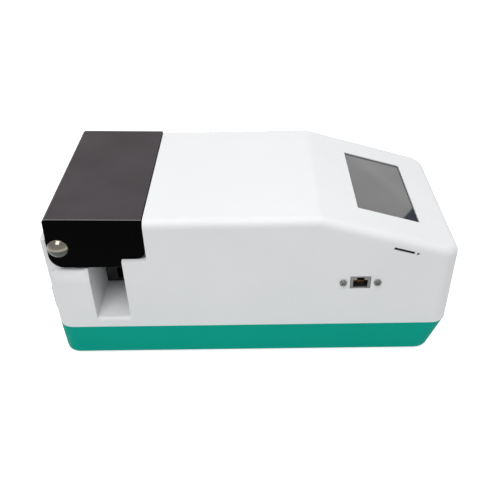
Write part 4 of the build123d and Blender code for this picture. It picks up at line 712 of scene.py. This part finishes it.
@dataclass
class PivotCaps:
    """The two domed shoulder screws that the lid turns on, with smooth polished caps.

    Attributes:
        cap_radius: Radius of the cap's rim.
        cap_rise: How far the dome rises from its rim.
        journal_radius: Radius of the bearing length in the lid.
        thread_radius: Radius of the threaded end in the cheek.
        journal_end: Where the bearing length ends, from the part's middle.
        thread_end: Where the threaded end stops, from the part's middle.
        ease: Width of the eased rims of both lengths.
    """

    cap_radius: float = 8.5 * MM
    cap_rise: float = 5.0 * MM
    journal_radius: float = 4.0 * MM
    thread_radius: float = 2.5 * MM
    journal_end: float = 73.0 * MM
    thread_end: float = 69.5 * MM
    ease: float = 0.2 * MM

    def build(self, chrome: Material) -> None:
        """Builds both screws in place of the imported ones.

        Args:
            chrome: The polished finish.
        """
        low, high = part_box("lid_pivot_screws")
        axis = middle("lid_pivot_screws")
        sphere = (self.cap_radius**2 + self.cap_rise**2) / (2 * self.cap_rise)
        pieces = []
        for side, tip in ((-1, low.y), (1, high.y)):
            back = tip - side * self.cap_rise
            bpy.ops.mesh.primitive_uv_sphere_add(segments=72, ring_count=48, radius=sphere,
                                                 location=(axis.x, tip - side * sphere, axis.z),
                                                 rotation=(math.radians(90), 0.0, 0.0))
            dome = Workshop.settle(bpy.context.active_object)
            Workshop.bisect(dome, Vector((axis.x, back, axis.z)), Y_AXIS * -side)
            pieces.append(dome)
            for radius, start, end in ((self.journal_radius, side * self.journal_end, back),
                                       (self.thread_radius, side * self.thread_end, side * self.journal_end)):
                centre = Vector((axis.x, (start + end) / 2, axis.z))
                pieces.append(Workshop.rod(centre, radius, abs(end - start), Y_AXIS, 40, self.ease))
        caps = Workshop.join(pieces)
        Workshop.done(caps, "pivot_caps", "chassis", "polished_chrome", chrome, ("lid_pivot_screws",))


@dataclass
class CrossHeads:
    """Pan-head screws with a cross recess, in place of packed ones.

    Attributes:
        name: Name of the piece.
        node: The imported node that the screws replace.
        axis: Direction that the heads face, along X, Y or Z.
        head_radius: Radius of a head.
        head_height: Height of a head.
        shank_radius: Radius of the shank.
        length: Length of the shank under the head.
        head_ease: Width of the head's eased rim, as a share of its height.
        recess: Reach of the cross, as a share of the head's radius.
        slot_width: Width of the cross's arms, as a share of the head's radius.
        overlap: How far the shank runs into the head and past its end.
        shank_ease: Width of the shank's eased rims.
    """

    name: str
    node: str
    axis: Vector
    head_radius: float
    head_height: float
    shank_radius: float
    length: float
    head_ease: float = 0.42
    recess: float = 0.72
    slot_width: float = 0.22
    overlap: float = 0.2 * MM
    shank_ease: float = 0.15 * MM

    def _faces(self) -> list[Vector]:
        """Finds where the heads go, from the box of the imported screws.

        Returns:
            The middle of each head's outer face.
        """
        spans = []
        for low, high, facing in zip(*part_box(self.node), self.axis):
            if facing:
                spans.append((high if facing > 0 else low,))
            elif high - low < 3 * self.head_radius:
                spans.append(((low + high) / 2,))
            else:
                spans.append((low + self.head_radius, high - self.head_radius))
        return [Vector(spot) for spot in itertools.product(*spans)]

    def _one(self, face: Vector) -> Piece:
        """Builds one screw.

        Args:
            face: The middle of the head's outer face.

        Returns:
            The screw.
        """
        head = Workshop.rod(face - self.axis * self.head_height / 2, self.head_radius, self.head_height,
                            self.axis, 40, self.head_height * self.head_ease)
        turn = self.axis.to_track_quat("Z", "Y").to_matrix().to_4x4()
        arm = (2 * self.head_radius * self.recess, self.slot_width * self.head_radius, self.head_height)
        for angle in (45, 135):
            spot = Matrix.Translation(face) @ turn @ Matrix.Rotation(math.radians(angle), 4, "Z")
            Workshop.cut(head, Workshop.place(Workshop.block(ORIGIN, arm), spot))
        shank_centre = face - self.axis * (self.head_height + self.length / 2 - self.overlap)
        shank = Workshop.rod(shank_centre, self.shank_radius, self.length + 2 * self.overlap, self.axis, 24,
                             self.shank_ease)
        return Workshop.join([head, shank])

    def build(self, body: str, slot: str, material: Material) -> None:
        """Builds one screw and copies it to every place.

        Args:
            body: The body they ride on.
            slot: The record's material slot.
            material: Their finish.
        """
        faces = self._faces()
        first = self._one(faces[0])
        others = [Workshop.copy(first, face - faces[0]) for face in faces[1:]]
        Workshop.done(Workshop.join([first, *others]), self.name, body, slot, material, (self.node,))


@dataclass
class JackTrim:
    """Metal shield round the socket's mouth, and the eight contacts inside it.

    Attributes:
        shield_width: Outer width of the shield.
        shield_height: Outer height of the shield.
        sheet: Thickness of the shield's sheet.
        sunk: How far the shield is set into the socket's face.
        plug_width: Width of the plug's opening.
        plug_height: Height of the plug's opening.
        plug_drop: How far the opening's middle lies below the socket's.
        latch_width: Width of the latch's notch.
        latch_height: Height of the latch's notch.
        overlap: How far the notch's tool runs into the opening and past its own top, together.
        contacts: Number of contacts.
        contact_pitch: Distance from one contact to the next.
        contact_width: Width of a contact.
        contact_length: Length of its flat part.
        contact_sheet: Thickness of its flat part.
        contact_depth: Depth of its middle behind the socket's face.
        contact_rise: Height of its middle above the opening's floor.
        tip_sheet: Thickness of its upturned tip.
        tip_height: Height of its upturned tip.
        tip_step: How far the tip's middle lies above the flat part, and in from its end.
        shield_ease: Width of the shield's eased edges.
        ease: Width of the contacts' eased edges.
    """

    shield_width: float = 16.1 * MM
    shield_height: float = 11.7 * MM
    sheet: float = 0.35 * MM
    sunk: float = 0.05 * MM
    plug_width: float = 11.8 * MM
    plug_height: float = 7.0 * MM
    plug_drop: float = 1.0 * MM
    latch_width: float = 6.2 * MM
    latch_height: float = 2.4 * MM
    overlap: float = 0.1 * MM
    contacts: int = 8
    contact_pitch: float = 1.02 * MM
    contact_width: float = 0.45 * MM
    contact_length: float = 6.5 * MM
    contact_sheet: float = 0.3 * MM
    contact_depth: float = 9.0 * MM
    contact_rise: float = 0.5 * MM
    tip_sheet: float = 0.35 * MM
    tip_height: float = 1.3 * MM
    tip_step: float = 0.6 * MM
    shield_ease: float = 0.12 * MM
    ease: float = 0.08 * MM

    def build(self, steel: Material, brass: Material) -> None:
        """Builds the shield and the contacts.

        Args:
            steel: Finish of the shield.
            brass: Finish of the contacts.
        """
        low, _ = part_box("network_jack")
        centre = middle("network_jack")
        face = Vector((centre.x, low.y - self.sheet / 2 + self.sunk, centre.z))
        shield = Workshop.block(face, (self.shield_width, self.sheet, self.shield_height), self.shield_ease)
        through = 4 * self.sheet
        plug = Workshop.block(face - Z_AXIS * self.plug_drop, (self.plug_width, through, self.plug_height))
        latch_up = (self.plug_height + self.latch_height) / 2 - self.plug_drop
        latch_size = (self.latch_width, through, self.latch_height + self.overlap)
        Workshop.cut(shield, plug, Workshop.block(face + Z_AXIS * latch_up, latch_size))
        Workshop.done(shield, "jack_shield", "chassis", "sheet_steel", steel)
        floor = centre.z - self.plug_drop - self.plug_height / 2
        to_tip = Vector((0.0, self.tip_step - self.contact_length / 2, self.tip_step))
        pins = []
        for index in range(self.contacts):
            across = centre.x + (index - (self.contacts - 1) / 2) * self.contact_pitch
            flat = Vector((across, low.y + self.contact_depth, floor + self.contact_rise))
            flat_size = (self.contact_width, self.contact_length, self.contact_sheet)
            tip_size = (self.contact_width, self.tip_sheet, self.tip_height)
            for spot, size in ((flat, flat_size), (flat + to_tip, tip_size)):
                pins.append(Workshop.block(spot, size, self.ease))
        Workshop.done(Workshop.join(pins), "jack_contacts", "chassis", "brass", brass)


@dataclass
class SlotLiners:
    """Black guides set back in the card slot and in the reset hole beside it.

    Attributes:
        slope_length: Length of the slope from its bend to the right end.
        slot_along: Distance of the slot's middle from the bend, down the slope.
        hole_along: Distance of the hole's middle from the bend, down the slope.
        below: Distance of both below the slope.
        slot_length: Length of the card guide.
        slot_width: Width of the card guide.
        slit_length: Length of the guide's slit.
        slit_width: Width of the guide's slit.
        hole_radius: Radius of the collar in the reset hole.
        pin_radius: Radius of the collar's bore.
        thickness: Thickness of both liners.
        setback: Depth of their faces behind the housing's front.
        ease: Width of their eased edges.
    """

    slope_length: float = 117.38 * MM
    slot_along: float = 72.3 * MM
    hole_along: float = 83.8 * MM
    below: float = 9.8 * MM
    slot_length: float = 17.3 * MM
    slot_width: float = 2.3 * MM
    slit_length: float = 16.2 * MM
    slit_width: float = 1.1 * MM
    hole_radius: float = 1.1 * MM
    pin_radius: float = 0.45 * MM
    thickness: float = 1.5 * MM
    setback: float = 0.9 * MM
    ease: float = 0.15 * MM

    def _spot(self, along: float) -> Matrix:
        """Place and turn of a point on the front, with X down the slope and Y into the housing.

        Args:
            along: Distance of the point from the bend, down the slope.

        Returns:
            The matrix.
        """
        low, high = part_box("upper_housing")
        bend = Vector((high.x - self.slope_length * DOWN_SLOPE.x, low.y, high.z))
        inward = Y_AXIS * (self.setback + self.thickness / 2)
        return Matrix.Translation(bend + DOWN_SLOPE * along - OFF_SLOPE * self.below + inward) @ SLOPE_TURN

    def build(self, black: Material) -> None:
        """Builds both liners.

        Args:
            black: Their finish.
        """
        through = 3 * self.thickness
        guide = Workshop.block(ORIGIN, (self.slot_length, self.thickness, self.slot_width), self.ease)
        Workshop.cut(guide, Workshop.block(ORIGIN, (self.slit_length, through, self.slit_width)))
        collar = Workshop.rod(ORIGIN, self.hole_radius, self.thickness, Y_AXIS, 40, self.ease)
        Workshop.cut(collar, Workshop.rod(ORIGIN, self.pin_radius, through, Y_AXIS, 24))
        for liner, name, along in ((guide, "card_guide", self.slot_along),
                                   (collar, "reset_collar", self.hole_along)):
            Workshop.done(Workshop.place(liner, self._spot(along)), name, "chassis", "black_plastic", black)


@dataclass
class ScreenGasketShade:
    """Thin dark gasket between the glass and the rim of the window, which also stands in for the shade in the
    window's recess.

    Attributes:
        length: Length of the window down the slope.
        width: Width of the window.
        strip: Width of the gasket that shows.
        height: Its thickness on the glass.
        glass: Thickness of the glass.
        ease: Width of its eased edges.
    """

    length: float = 53.9 * MM
    width: float = 95.0 * MM
    strip: float = 0.7 * MM
    height: float = 0.3 * MM
    glass: float = 1.5 * MM
    ease: float = 0.08 * MM

    def build(self, rubber: Material) -> None:
        """Builds the gasket on the glass's upper face.

        Args:
            rubber: Its finish.
        """
        # The dark strip is partly a gasket and partly painted shade: it stands in for the shade in the recess
        # round the glass.
        bpy.ops.mesh.primitive_plane_add(size=1.0)
        sheet = Matrix.Diagonal((self.length, self.width, 1.0, 1.0))
        gasket = Workshop.place(bpy.context.active_object, sheet)
        bpy.ops.object.mode_set(mode="EDIT")
        bpy.ops.mesh.select_all(action="SELECT")
        bpy.ops.mesh.inset(thickness=self.strip, depth=0.0)
        bpy.ops.mesh.delete(type="FACE")
        bpy.ops.object.mode_set(mode="OBJECT")
        Workshop.modify(gasket, "SOLIDIFY", thickness=self.height, offset=1.0)
        Workshop.modify(gasket, "BEVEL", width=self.ease, segments=2)
        top = middle("touch_glass") + OFF_SLOPE * self.glass / 2
        Workshop.place(gasket, Matrix.Translation(top) @ SLOPE_TURN)
        Workshop.done(gasket, "screen_gasket", "chassis", "black_rubber", rubber)


@dataclass
class RockerMarks:
    """A line and a ring on the two halves of the power switch.

    Attributes:
        tilt_deg: Turn of the rocker at rest.
        half: Half the rocker's length.
        crown: Height of its middle above its axis.
        edge: Height of its two ends above its axis.
        mark: Length of the line and outer width of the ring.
        stroke: Width of the line and of the ring's band.
        proud: How far both stand off the rocker.
        ease: Width of the line's eased edges.
    """

    tilt_deg: float = 10.0
    half: float = 7.4 * MM
    crown: float = 1.8 * MM
    edge: float = 3.0 * MM
    mark: float = 3.4 * MM
    stroke: float = 0.7 * MM
    proud: float = 0.12 * MM
    ease: float = 0.05 * MM

    def _face(self, end: int) -> Matrix:
        """Place and turn of one half of the rocker: Z points out of it and Y along Z of the part.

        Args:
            end: 1 for the half towards +Y, and -1 for the other.

        Returns:
            The matrix.
        """
        tilt = math.radians(self.tilt_deg)
        joint = next(entry for entry in frame["joints"] if entry["name"] == "rocker_tilt")
        pivot = Vector(joint["pos_m"])
        across = Vector((math.cos(tilt), -math.sin(tilt), 0.0))
        along = Vector((math.sin(tilt), math.cos(tilt), 0.0)) * end
        spot = pivot - across * (self.edge + self.crown) / 2 + along * self.half / 2
        run = Vector((self.edge - self.crown, self.half)).normalized()
        outward = (-across * run.y - along * run.x).normalized()
        turn = Matrix((Z_AXIS.cross(outward), Z_AXIS, outward)).transposed().to_4x4()
        return Matrix.Translation(spot) @ turn

    def build(self, white: Material) -> None:
        """Builds both marks.

        Args:
            white: Their finish.
        """
        depth = 2 * self.proud
        line = Workshop.block(ORIGIN, (self.stroke, self.mark, depth), self.ease)
        ring = Workshop.rod(ORIGIN, self.mark / 2, depth, Z_AXIS, 40)
        Workshop.cut(ring, Workshop.rod(ORIGIN, self.mark / 2 - self.stroke, 4 * depth, Z_AXIS, 40))
        marks = [Workshop.place(line, self._face(-1)), Workshop.place(ring, self._face(1))]
        Workshop.done(Workshop.join(marks), "switch_marks", "rocker", "housing_white", white)


@dataclass
class MotorBolts:
    """Four socket-head bolts on one face of a square motor.

    Attributes:
        name: Name of the piece.
        node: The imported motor.
        axis: Direction that the heads face, along X, Y or Z.
        inset: Distance from the motor's sides to a bolt.
        radius: Radius of a head.
        height: Height of a head.
        ease: Width of a head's eased rim.
        socket_radius: Radius of the hexagon socket, as a share of the head's.
        socket_lift: How far its tool stands above the head's middle, as a share of its height.
    """

    name: str
    node: str
    axis: Vector
    inset: float = 4.6 * MM
    radius: float = 1.9 * MM
    height: float = 1.1 * MM
    ease: float = 0.25 * MM
    socket_radius: float = 0.5
    socket_lift: float = 0.6

    def build(self, steel: Material) -> None:
        """Builds the bolts.

        Args:
            steel: Their finish.
        """
        low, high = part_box(self.node)
        half = (high - low) / 2
        spans = [span for span in (X_AXIS, Y_AXIS, Z_AXIS) if abs(span.dot(self.axis)) < 0.5]
        across, along = (span * (span.dot(half) - self.inset) for span in spans)
        face = middle(self.node) + self.axis * abs(self.axis.dot(half))
        first = face - across - along + self.axis * self.height / 2
        head = Workshop.rod(first, self.radius, self.height, self.axis, 28, self.ease)
        lifted = first + self.axis * self.height * self.socket_lift
        Workshop.cut(head, Workshop.rod(lifted, self.radius * self.socket_radius, self.height, self.axis, 6))
        steps = (across, along, across + along)
        heads = [head, *(Workshop.copy(head, 2 * step) for step in steps)]
        Workshop.done(Workshop.join(heads), self.name, "chassis", "steel", steel)


@dataclass
class BoardParts:
    """Capacitors, headers and a heat sink on the controller board.

    Attributes:
        board: Thickness of the board.
        can_radius: Radius of a capacitor.
        can_height: Height of a capacitor.
        can_ease: Width of a capacitor's eased rims.
        top_radius: Radius of its bare top, as a share of its own.
        top_height: Thickness of its bare top.
        top_lift: How far the top's middle lies above the capacitor.
        cans: Middle of each capacitor, in millimetres across and up from the board's lower left corner.
        headers: Middle of each header, in the same way, and its length.
        header_height: How far a header stands off the board.
        header_width: Width of a header.
        header_wall: Thickness of its walls.
        header_floor: Thickness of its floor.
        header_ease: Width of its eased edges.
        sink: Middle of the heat sink, in the same way.
        sink_side: Length of its sides.
        sink_base: Thickness of its base.
        fins: Number of its fins.
        fin_pitch: Distance from one fin to the next.
        fin_width: Thickness of a fin.
        fin_height: Height of a fin.
        fin_sunk: How far the fins run into the base.
        ease: Width of the eased edges of the base and the fins.
    """

    board: float = 1.6 * MM
    can_radius: float = 3.6 * MM
    can_height: float = 7.5 * MM
    can_ease: float = 0.4 * MM
    top_radius: float = 0.8
    top_height: float = 0.2 * MM
    top_lift: float = 0.02 * MM
    cans: tuple[tuple[float, float], ...] = (
        (9.0, 12.0), (18.0, 12.0), (27.0, 12.0), (70.0, 52.0), (79.0, 52.0))
    headers: tuple[tuple[float, float, float], ...] = (
        (46.0, 6.0, 18.0), (68.0, 6.0, 14.0), (8.0, 52.0, 12.0))
    header_height: float = 5.2 * MM
    header_width: float = 5.0 * MM
    header_wall: float = 0.8 * MM
    header_floor: float = 1.4 * MM
    header_ease: float = 0.25 * MM
    sink: tuple[float, float] = (50.0, 26.0)
    sink_side: float = 12.0 * MM
    sink_base: float = 1.2 * MM
    fins: int = 6
    fin_pitch: float = 2.2 * MM
    fin_width: float = 0.7 * MM
    fin_height: float = 4.4 * MM
    fin_sunk: float = 0.2 * MM
    ease: float = 0.15 * MM

    def _spot(self, across: float, up: float, off: float) -> Vector:
        """Finds a point over the board's inner face.

        Args:
            across: Distance from the board's left end, in millimetres.
            up: Distance from its lower edge, in millimetres.
            off: Distance from its inner face, in metres.

        Returns:
            The point.
        """
        low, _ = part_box("controller_board")
        return low + Vector((across * MM, self.board + off, up * MM))

    def build(self, lacquer: Material, white: Material,
              metal: Material) -> None:
        """Builds the parts on the board's inner face.

        Args:
            lacquer: Finish of the capacitors.
            white: Finish of the headers.
            metal: Finish of the heat sink and the capacitors' tops.
        """
        cans, bare, strips = [], [], []
        for across, up in self.cans:
            spot = self._spot(across, up, self.can_height / 2)
            cans.append(Workshop.rod(spot, self.can_radius, self.can_height, Y_AXIS, 32, self.can_ease))
            spot = self._spot(across, up, self.can_height + self.top_lift)
            bare.append(Workshop.rod(spot, self.can_radius * self.top_radius, self.top_height, Y_AXIS, 32,
                                     self.top_height / 4))
        for across, up, length in self.headers:
            spot = self._spot(across, up, self.header_height / 2)
            size = Vector((length * MM, self.header_height, self.header_width))
            strip = Workshop.block(spot, tuple(size), self.header_ease)
            inside = size - (X_AXIS + Z_AXIS) * 2 * self.header_wall
            Workshop.cut(strip, Workshop.block(spot + Y_AXIS * self.header_floor, tuple(inside)))
            strips.append(strip)
        base = (self.sink_side, self.sink_base, self.sink_side)
        bare.append(Workshop.block(self._spot(*self.sink, self.sink_base / 2), base, self.ease))
        lowest = self._spot(*self.sink, self.sink_base - self.fin_sunk + self.fin_height / 2)
        for index in range(self.fins):
            spot = lowest + X_AXIS * (index - (self.fins - 1) / 2) * self.fin_pitch
            bare.append(Workshop.block(spot, (self.fin_width, self.fin_height, self.sink_side), self.ease))
        for pieces, name, slot, finish in ((cans, "board_capacitors", "motor_black", lacquer),
                                           (bare, "board_heat_sink", "aluminium", metal),
                                           (strips, "board_headers", "housing_white", white)):
            Workshop.done(Workshop.join(pieces), name, "chassis", slot, finish)


@dataclass
class Studio:
    """Camera, floor, backdrop and lamps.

    Attributes:
        camera_mm: Place of the camera, in millimetres.
        azimuth: Degrees that the camera is turned from looking along +Y.
        elevation: Degrees that it looks down.
        roll: Degrees of roll about its view.
        focal_px: Focal length in pixels of the picture.
        picture_px: Width of the picture in pixels.
        sensor_mm: Width of the camera's sensor in millimetres.
        floor_glow: How strongly the floor glows where it is seen.
        world_level: Strength of the sky's light; where it is seen, it is 1.
        floor_side: Length of the floor's side, in metres.
    """

    camera_mm: tuple[float, float, float] = (5.42, -479.17, 406.68)
    azimuth: float = 0.795
    elevation: float = 36.385
    roll: float = -1.31
    focal_px: float = 636.24
    picture_px: float = 500.0
    sensor_mm: float = 36.0
    floor_glow: float = 0.75
    world_level: float = 0.22
    floor_side: float = 6.0

    def build_camera(self) -> None:
        """Adds the camera at the photograph's viewing angle."""
        data = bpy.data.cameras.new("camera")
        data.sensor_width = self.sensor_mm
        data.lens = self.focal_px * self.sensor_mm / self.picture_px
        camera = bpy.data.objects.new("camera", data)
        bpy.context.scene.collection.objects.link(camera)
        az, el, roll = (math.radians(angle) for angle in (self.azimuth, self.elevation, self.roll))
        forward = Vector((-math.sin(az) * math.cos(el), math.cos(az) * math.cos(el), -math.sin(el)))
        right = Vector((math.cos(az), math.sin(az), 0.0))
        up = right.cross(forward)
        image_right = math.cos(roll) * right + math.sin(roll) * up
        image_up = -math.sin(roll) * right + math.cos(roll) * up
        turn = Matrix((image_right, image_up, -forward)).transposed().to_4x4()
        camera.matrix_world = Matrix.Translation(Vector(self.camera_mm) * MM) @ turn
        bpy.context.scene.camera = camera

    @staticmethod
    def _seen_rays(net: NodeTree) -> Socket:
        """1 for camera, glossy and transmission rays, and 0 for light."""
        path = net.add("ShaderNodeLightPath")
        seen = net.math("MAXIMUM", path.outputs["Is Camera Ray"], path.outputs["Is Glossy Ray"])
        return net.math("MAXIMUM", seen, path.outputs["Is Transmission Ray"])

    def build_floor(self) -> None:
        """Adds a pale flat floor that keeps the object's shadow."""
        bpy.ops.mesh.primitive_plane_add(size=self.floor_side, location=ORIGIN)
        floor = bpy.context.active_object
        floor.name = "floor"
        material = bpy.data.materials.new("floor")
        material.use_nodes = True
        net = NodeTree(material.node_tree)
        net.tree.nodes.clear()
        diffuse = net.feed(net.add("ShaderNodeBsdfDiffuse"), Color=(0.85, 0.85, 0.85))
        level = net.math("MULTIPLY", self._seen_rays(net), self.floor_glow)
        glow = net.feed(net.add("ShaderNodeEmission"), Color=(1.0, 1.0, 1.0), Strength=level)
        both = net.add("ShaderNodeAddShader")
        net.put(both.inputs[0], diffuse.outputs[0])
        net.put(both.inputs[1], glow.outputs[0])
        net.feed(net.add("ShaderNodeOutputMaterial"), Surface=both.outputs[0])
        floor.data.materials.append(material)

    def build_world(self) -> None:
        """Sets a soft even sky, white where it is seen."""
        world = bpy.data.worlds.new("studio")
        bpy.context.scene.world = world
        world.use_nodes = True
        net = NodeTree(world.node_tree)
        net.tree.nodes.clear()
        level = net.ramp(self._seen_rays(net), 0.0, 1.0, self.world_level, 1.0)
        back = net.feed(net.add("ShaderNodeBackground"), Color=(1.0, 1.0, 1.0), Strength=level)
        net.feed(net.add("ShaderNodeOutputWorld"), Surface=back.outputs[0])

    @staticmethod
    def _lamp(name: str, place: tuple[float, float, float], aim: tuple[float, float, float],
              size: float, power: float) -> None:
        """Adds a soft square lamp.

        Args:
            name: Name of the lamp.
            place: Where it hangs, in metres.
            aim: The point it faces, in metres.
            size: Length of its side, in metres.
            power: Its power in watts.
        """
        data = bpy.data.lights.new(name, "AREA")
        data.energy = power
        data.size = size
        lamp = bpy.data.objects.new(name, data)
        bpy.context.scene.collection.objects.link(lamp)
        turn = (Vector(aim) - Vector(place)).to_track_quat("-Z", "Y").to_matrix().to_4x4()
        lamp.matrix_world = Matrix.Translation(place) @ turn

    def build(self) -> None:
        """Builds the whole studio."""
        self.build_camera()
        self.build_floor()
        self.build_world()
        self._lamp("overhead", place=(0.05, 0.15, 1.5), aim=(0.0, 0.0, 0.1), size=1.3, power=11.4)
        self._lamp("key", place=(-0.15, -0.86, 1.5), aim=(0.0, 0.0, 0.08), size=0.9, power=14.6)
        bpy.context.scene.view_settings.view_transform = "Standard"
        LOG.info("studio built")


def main() -> None:
    """Builds the studio, dresses the frame and adds every piece."""
    logging.basicConfig(level=logging.INFO, format="%(message)s")
    Studio().build()
    finishes = Finisher().dress()
    PivotCaps().build(finishes["polished_chrome"])
    CrossHeads("jack_screw_heads", "jack_screws", FRONT, head_radius=3.0 * MM, head_height=1.6 * MM,
               shank_radius=1.5 * MM, length=6.4 * MM).build("chassis", "steel", finishes["dull_nickel"])
    CrossHeads("housing_screw_heads", "housing_screws", DOWN, head_radius=3.3 * MM, head_height=2.4 * MM,
               shank_radius=2.0 * MM, length=23.8 * MM).build("chassis", "steel", finishes["steel"])
    JackTrim().build(finishes["dull_nickel"], finishes["brass"])
    SlotLiners().build(finishes["black_plastic"])
    ScreenGasketShade().build(finishes["black_rubber"])
    RockerMarks().build(finishes["housing_white"])
    for motor, axis in (("press_motor", FRONT), ("feed_motor", FRONT), ("drawer_motor", Z_AXIS)):
        MotorBolts(f"{motor}_bolts", motor, axis).build(finishes["steel"])
    BoardParts().build(finishes["motor_black"], finishes["housing_white"], finishes["aluminium"])


if __name__ == "__main__":
    main()
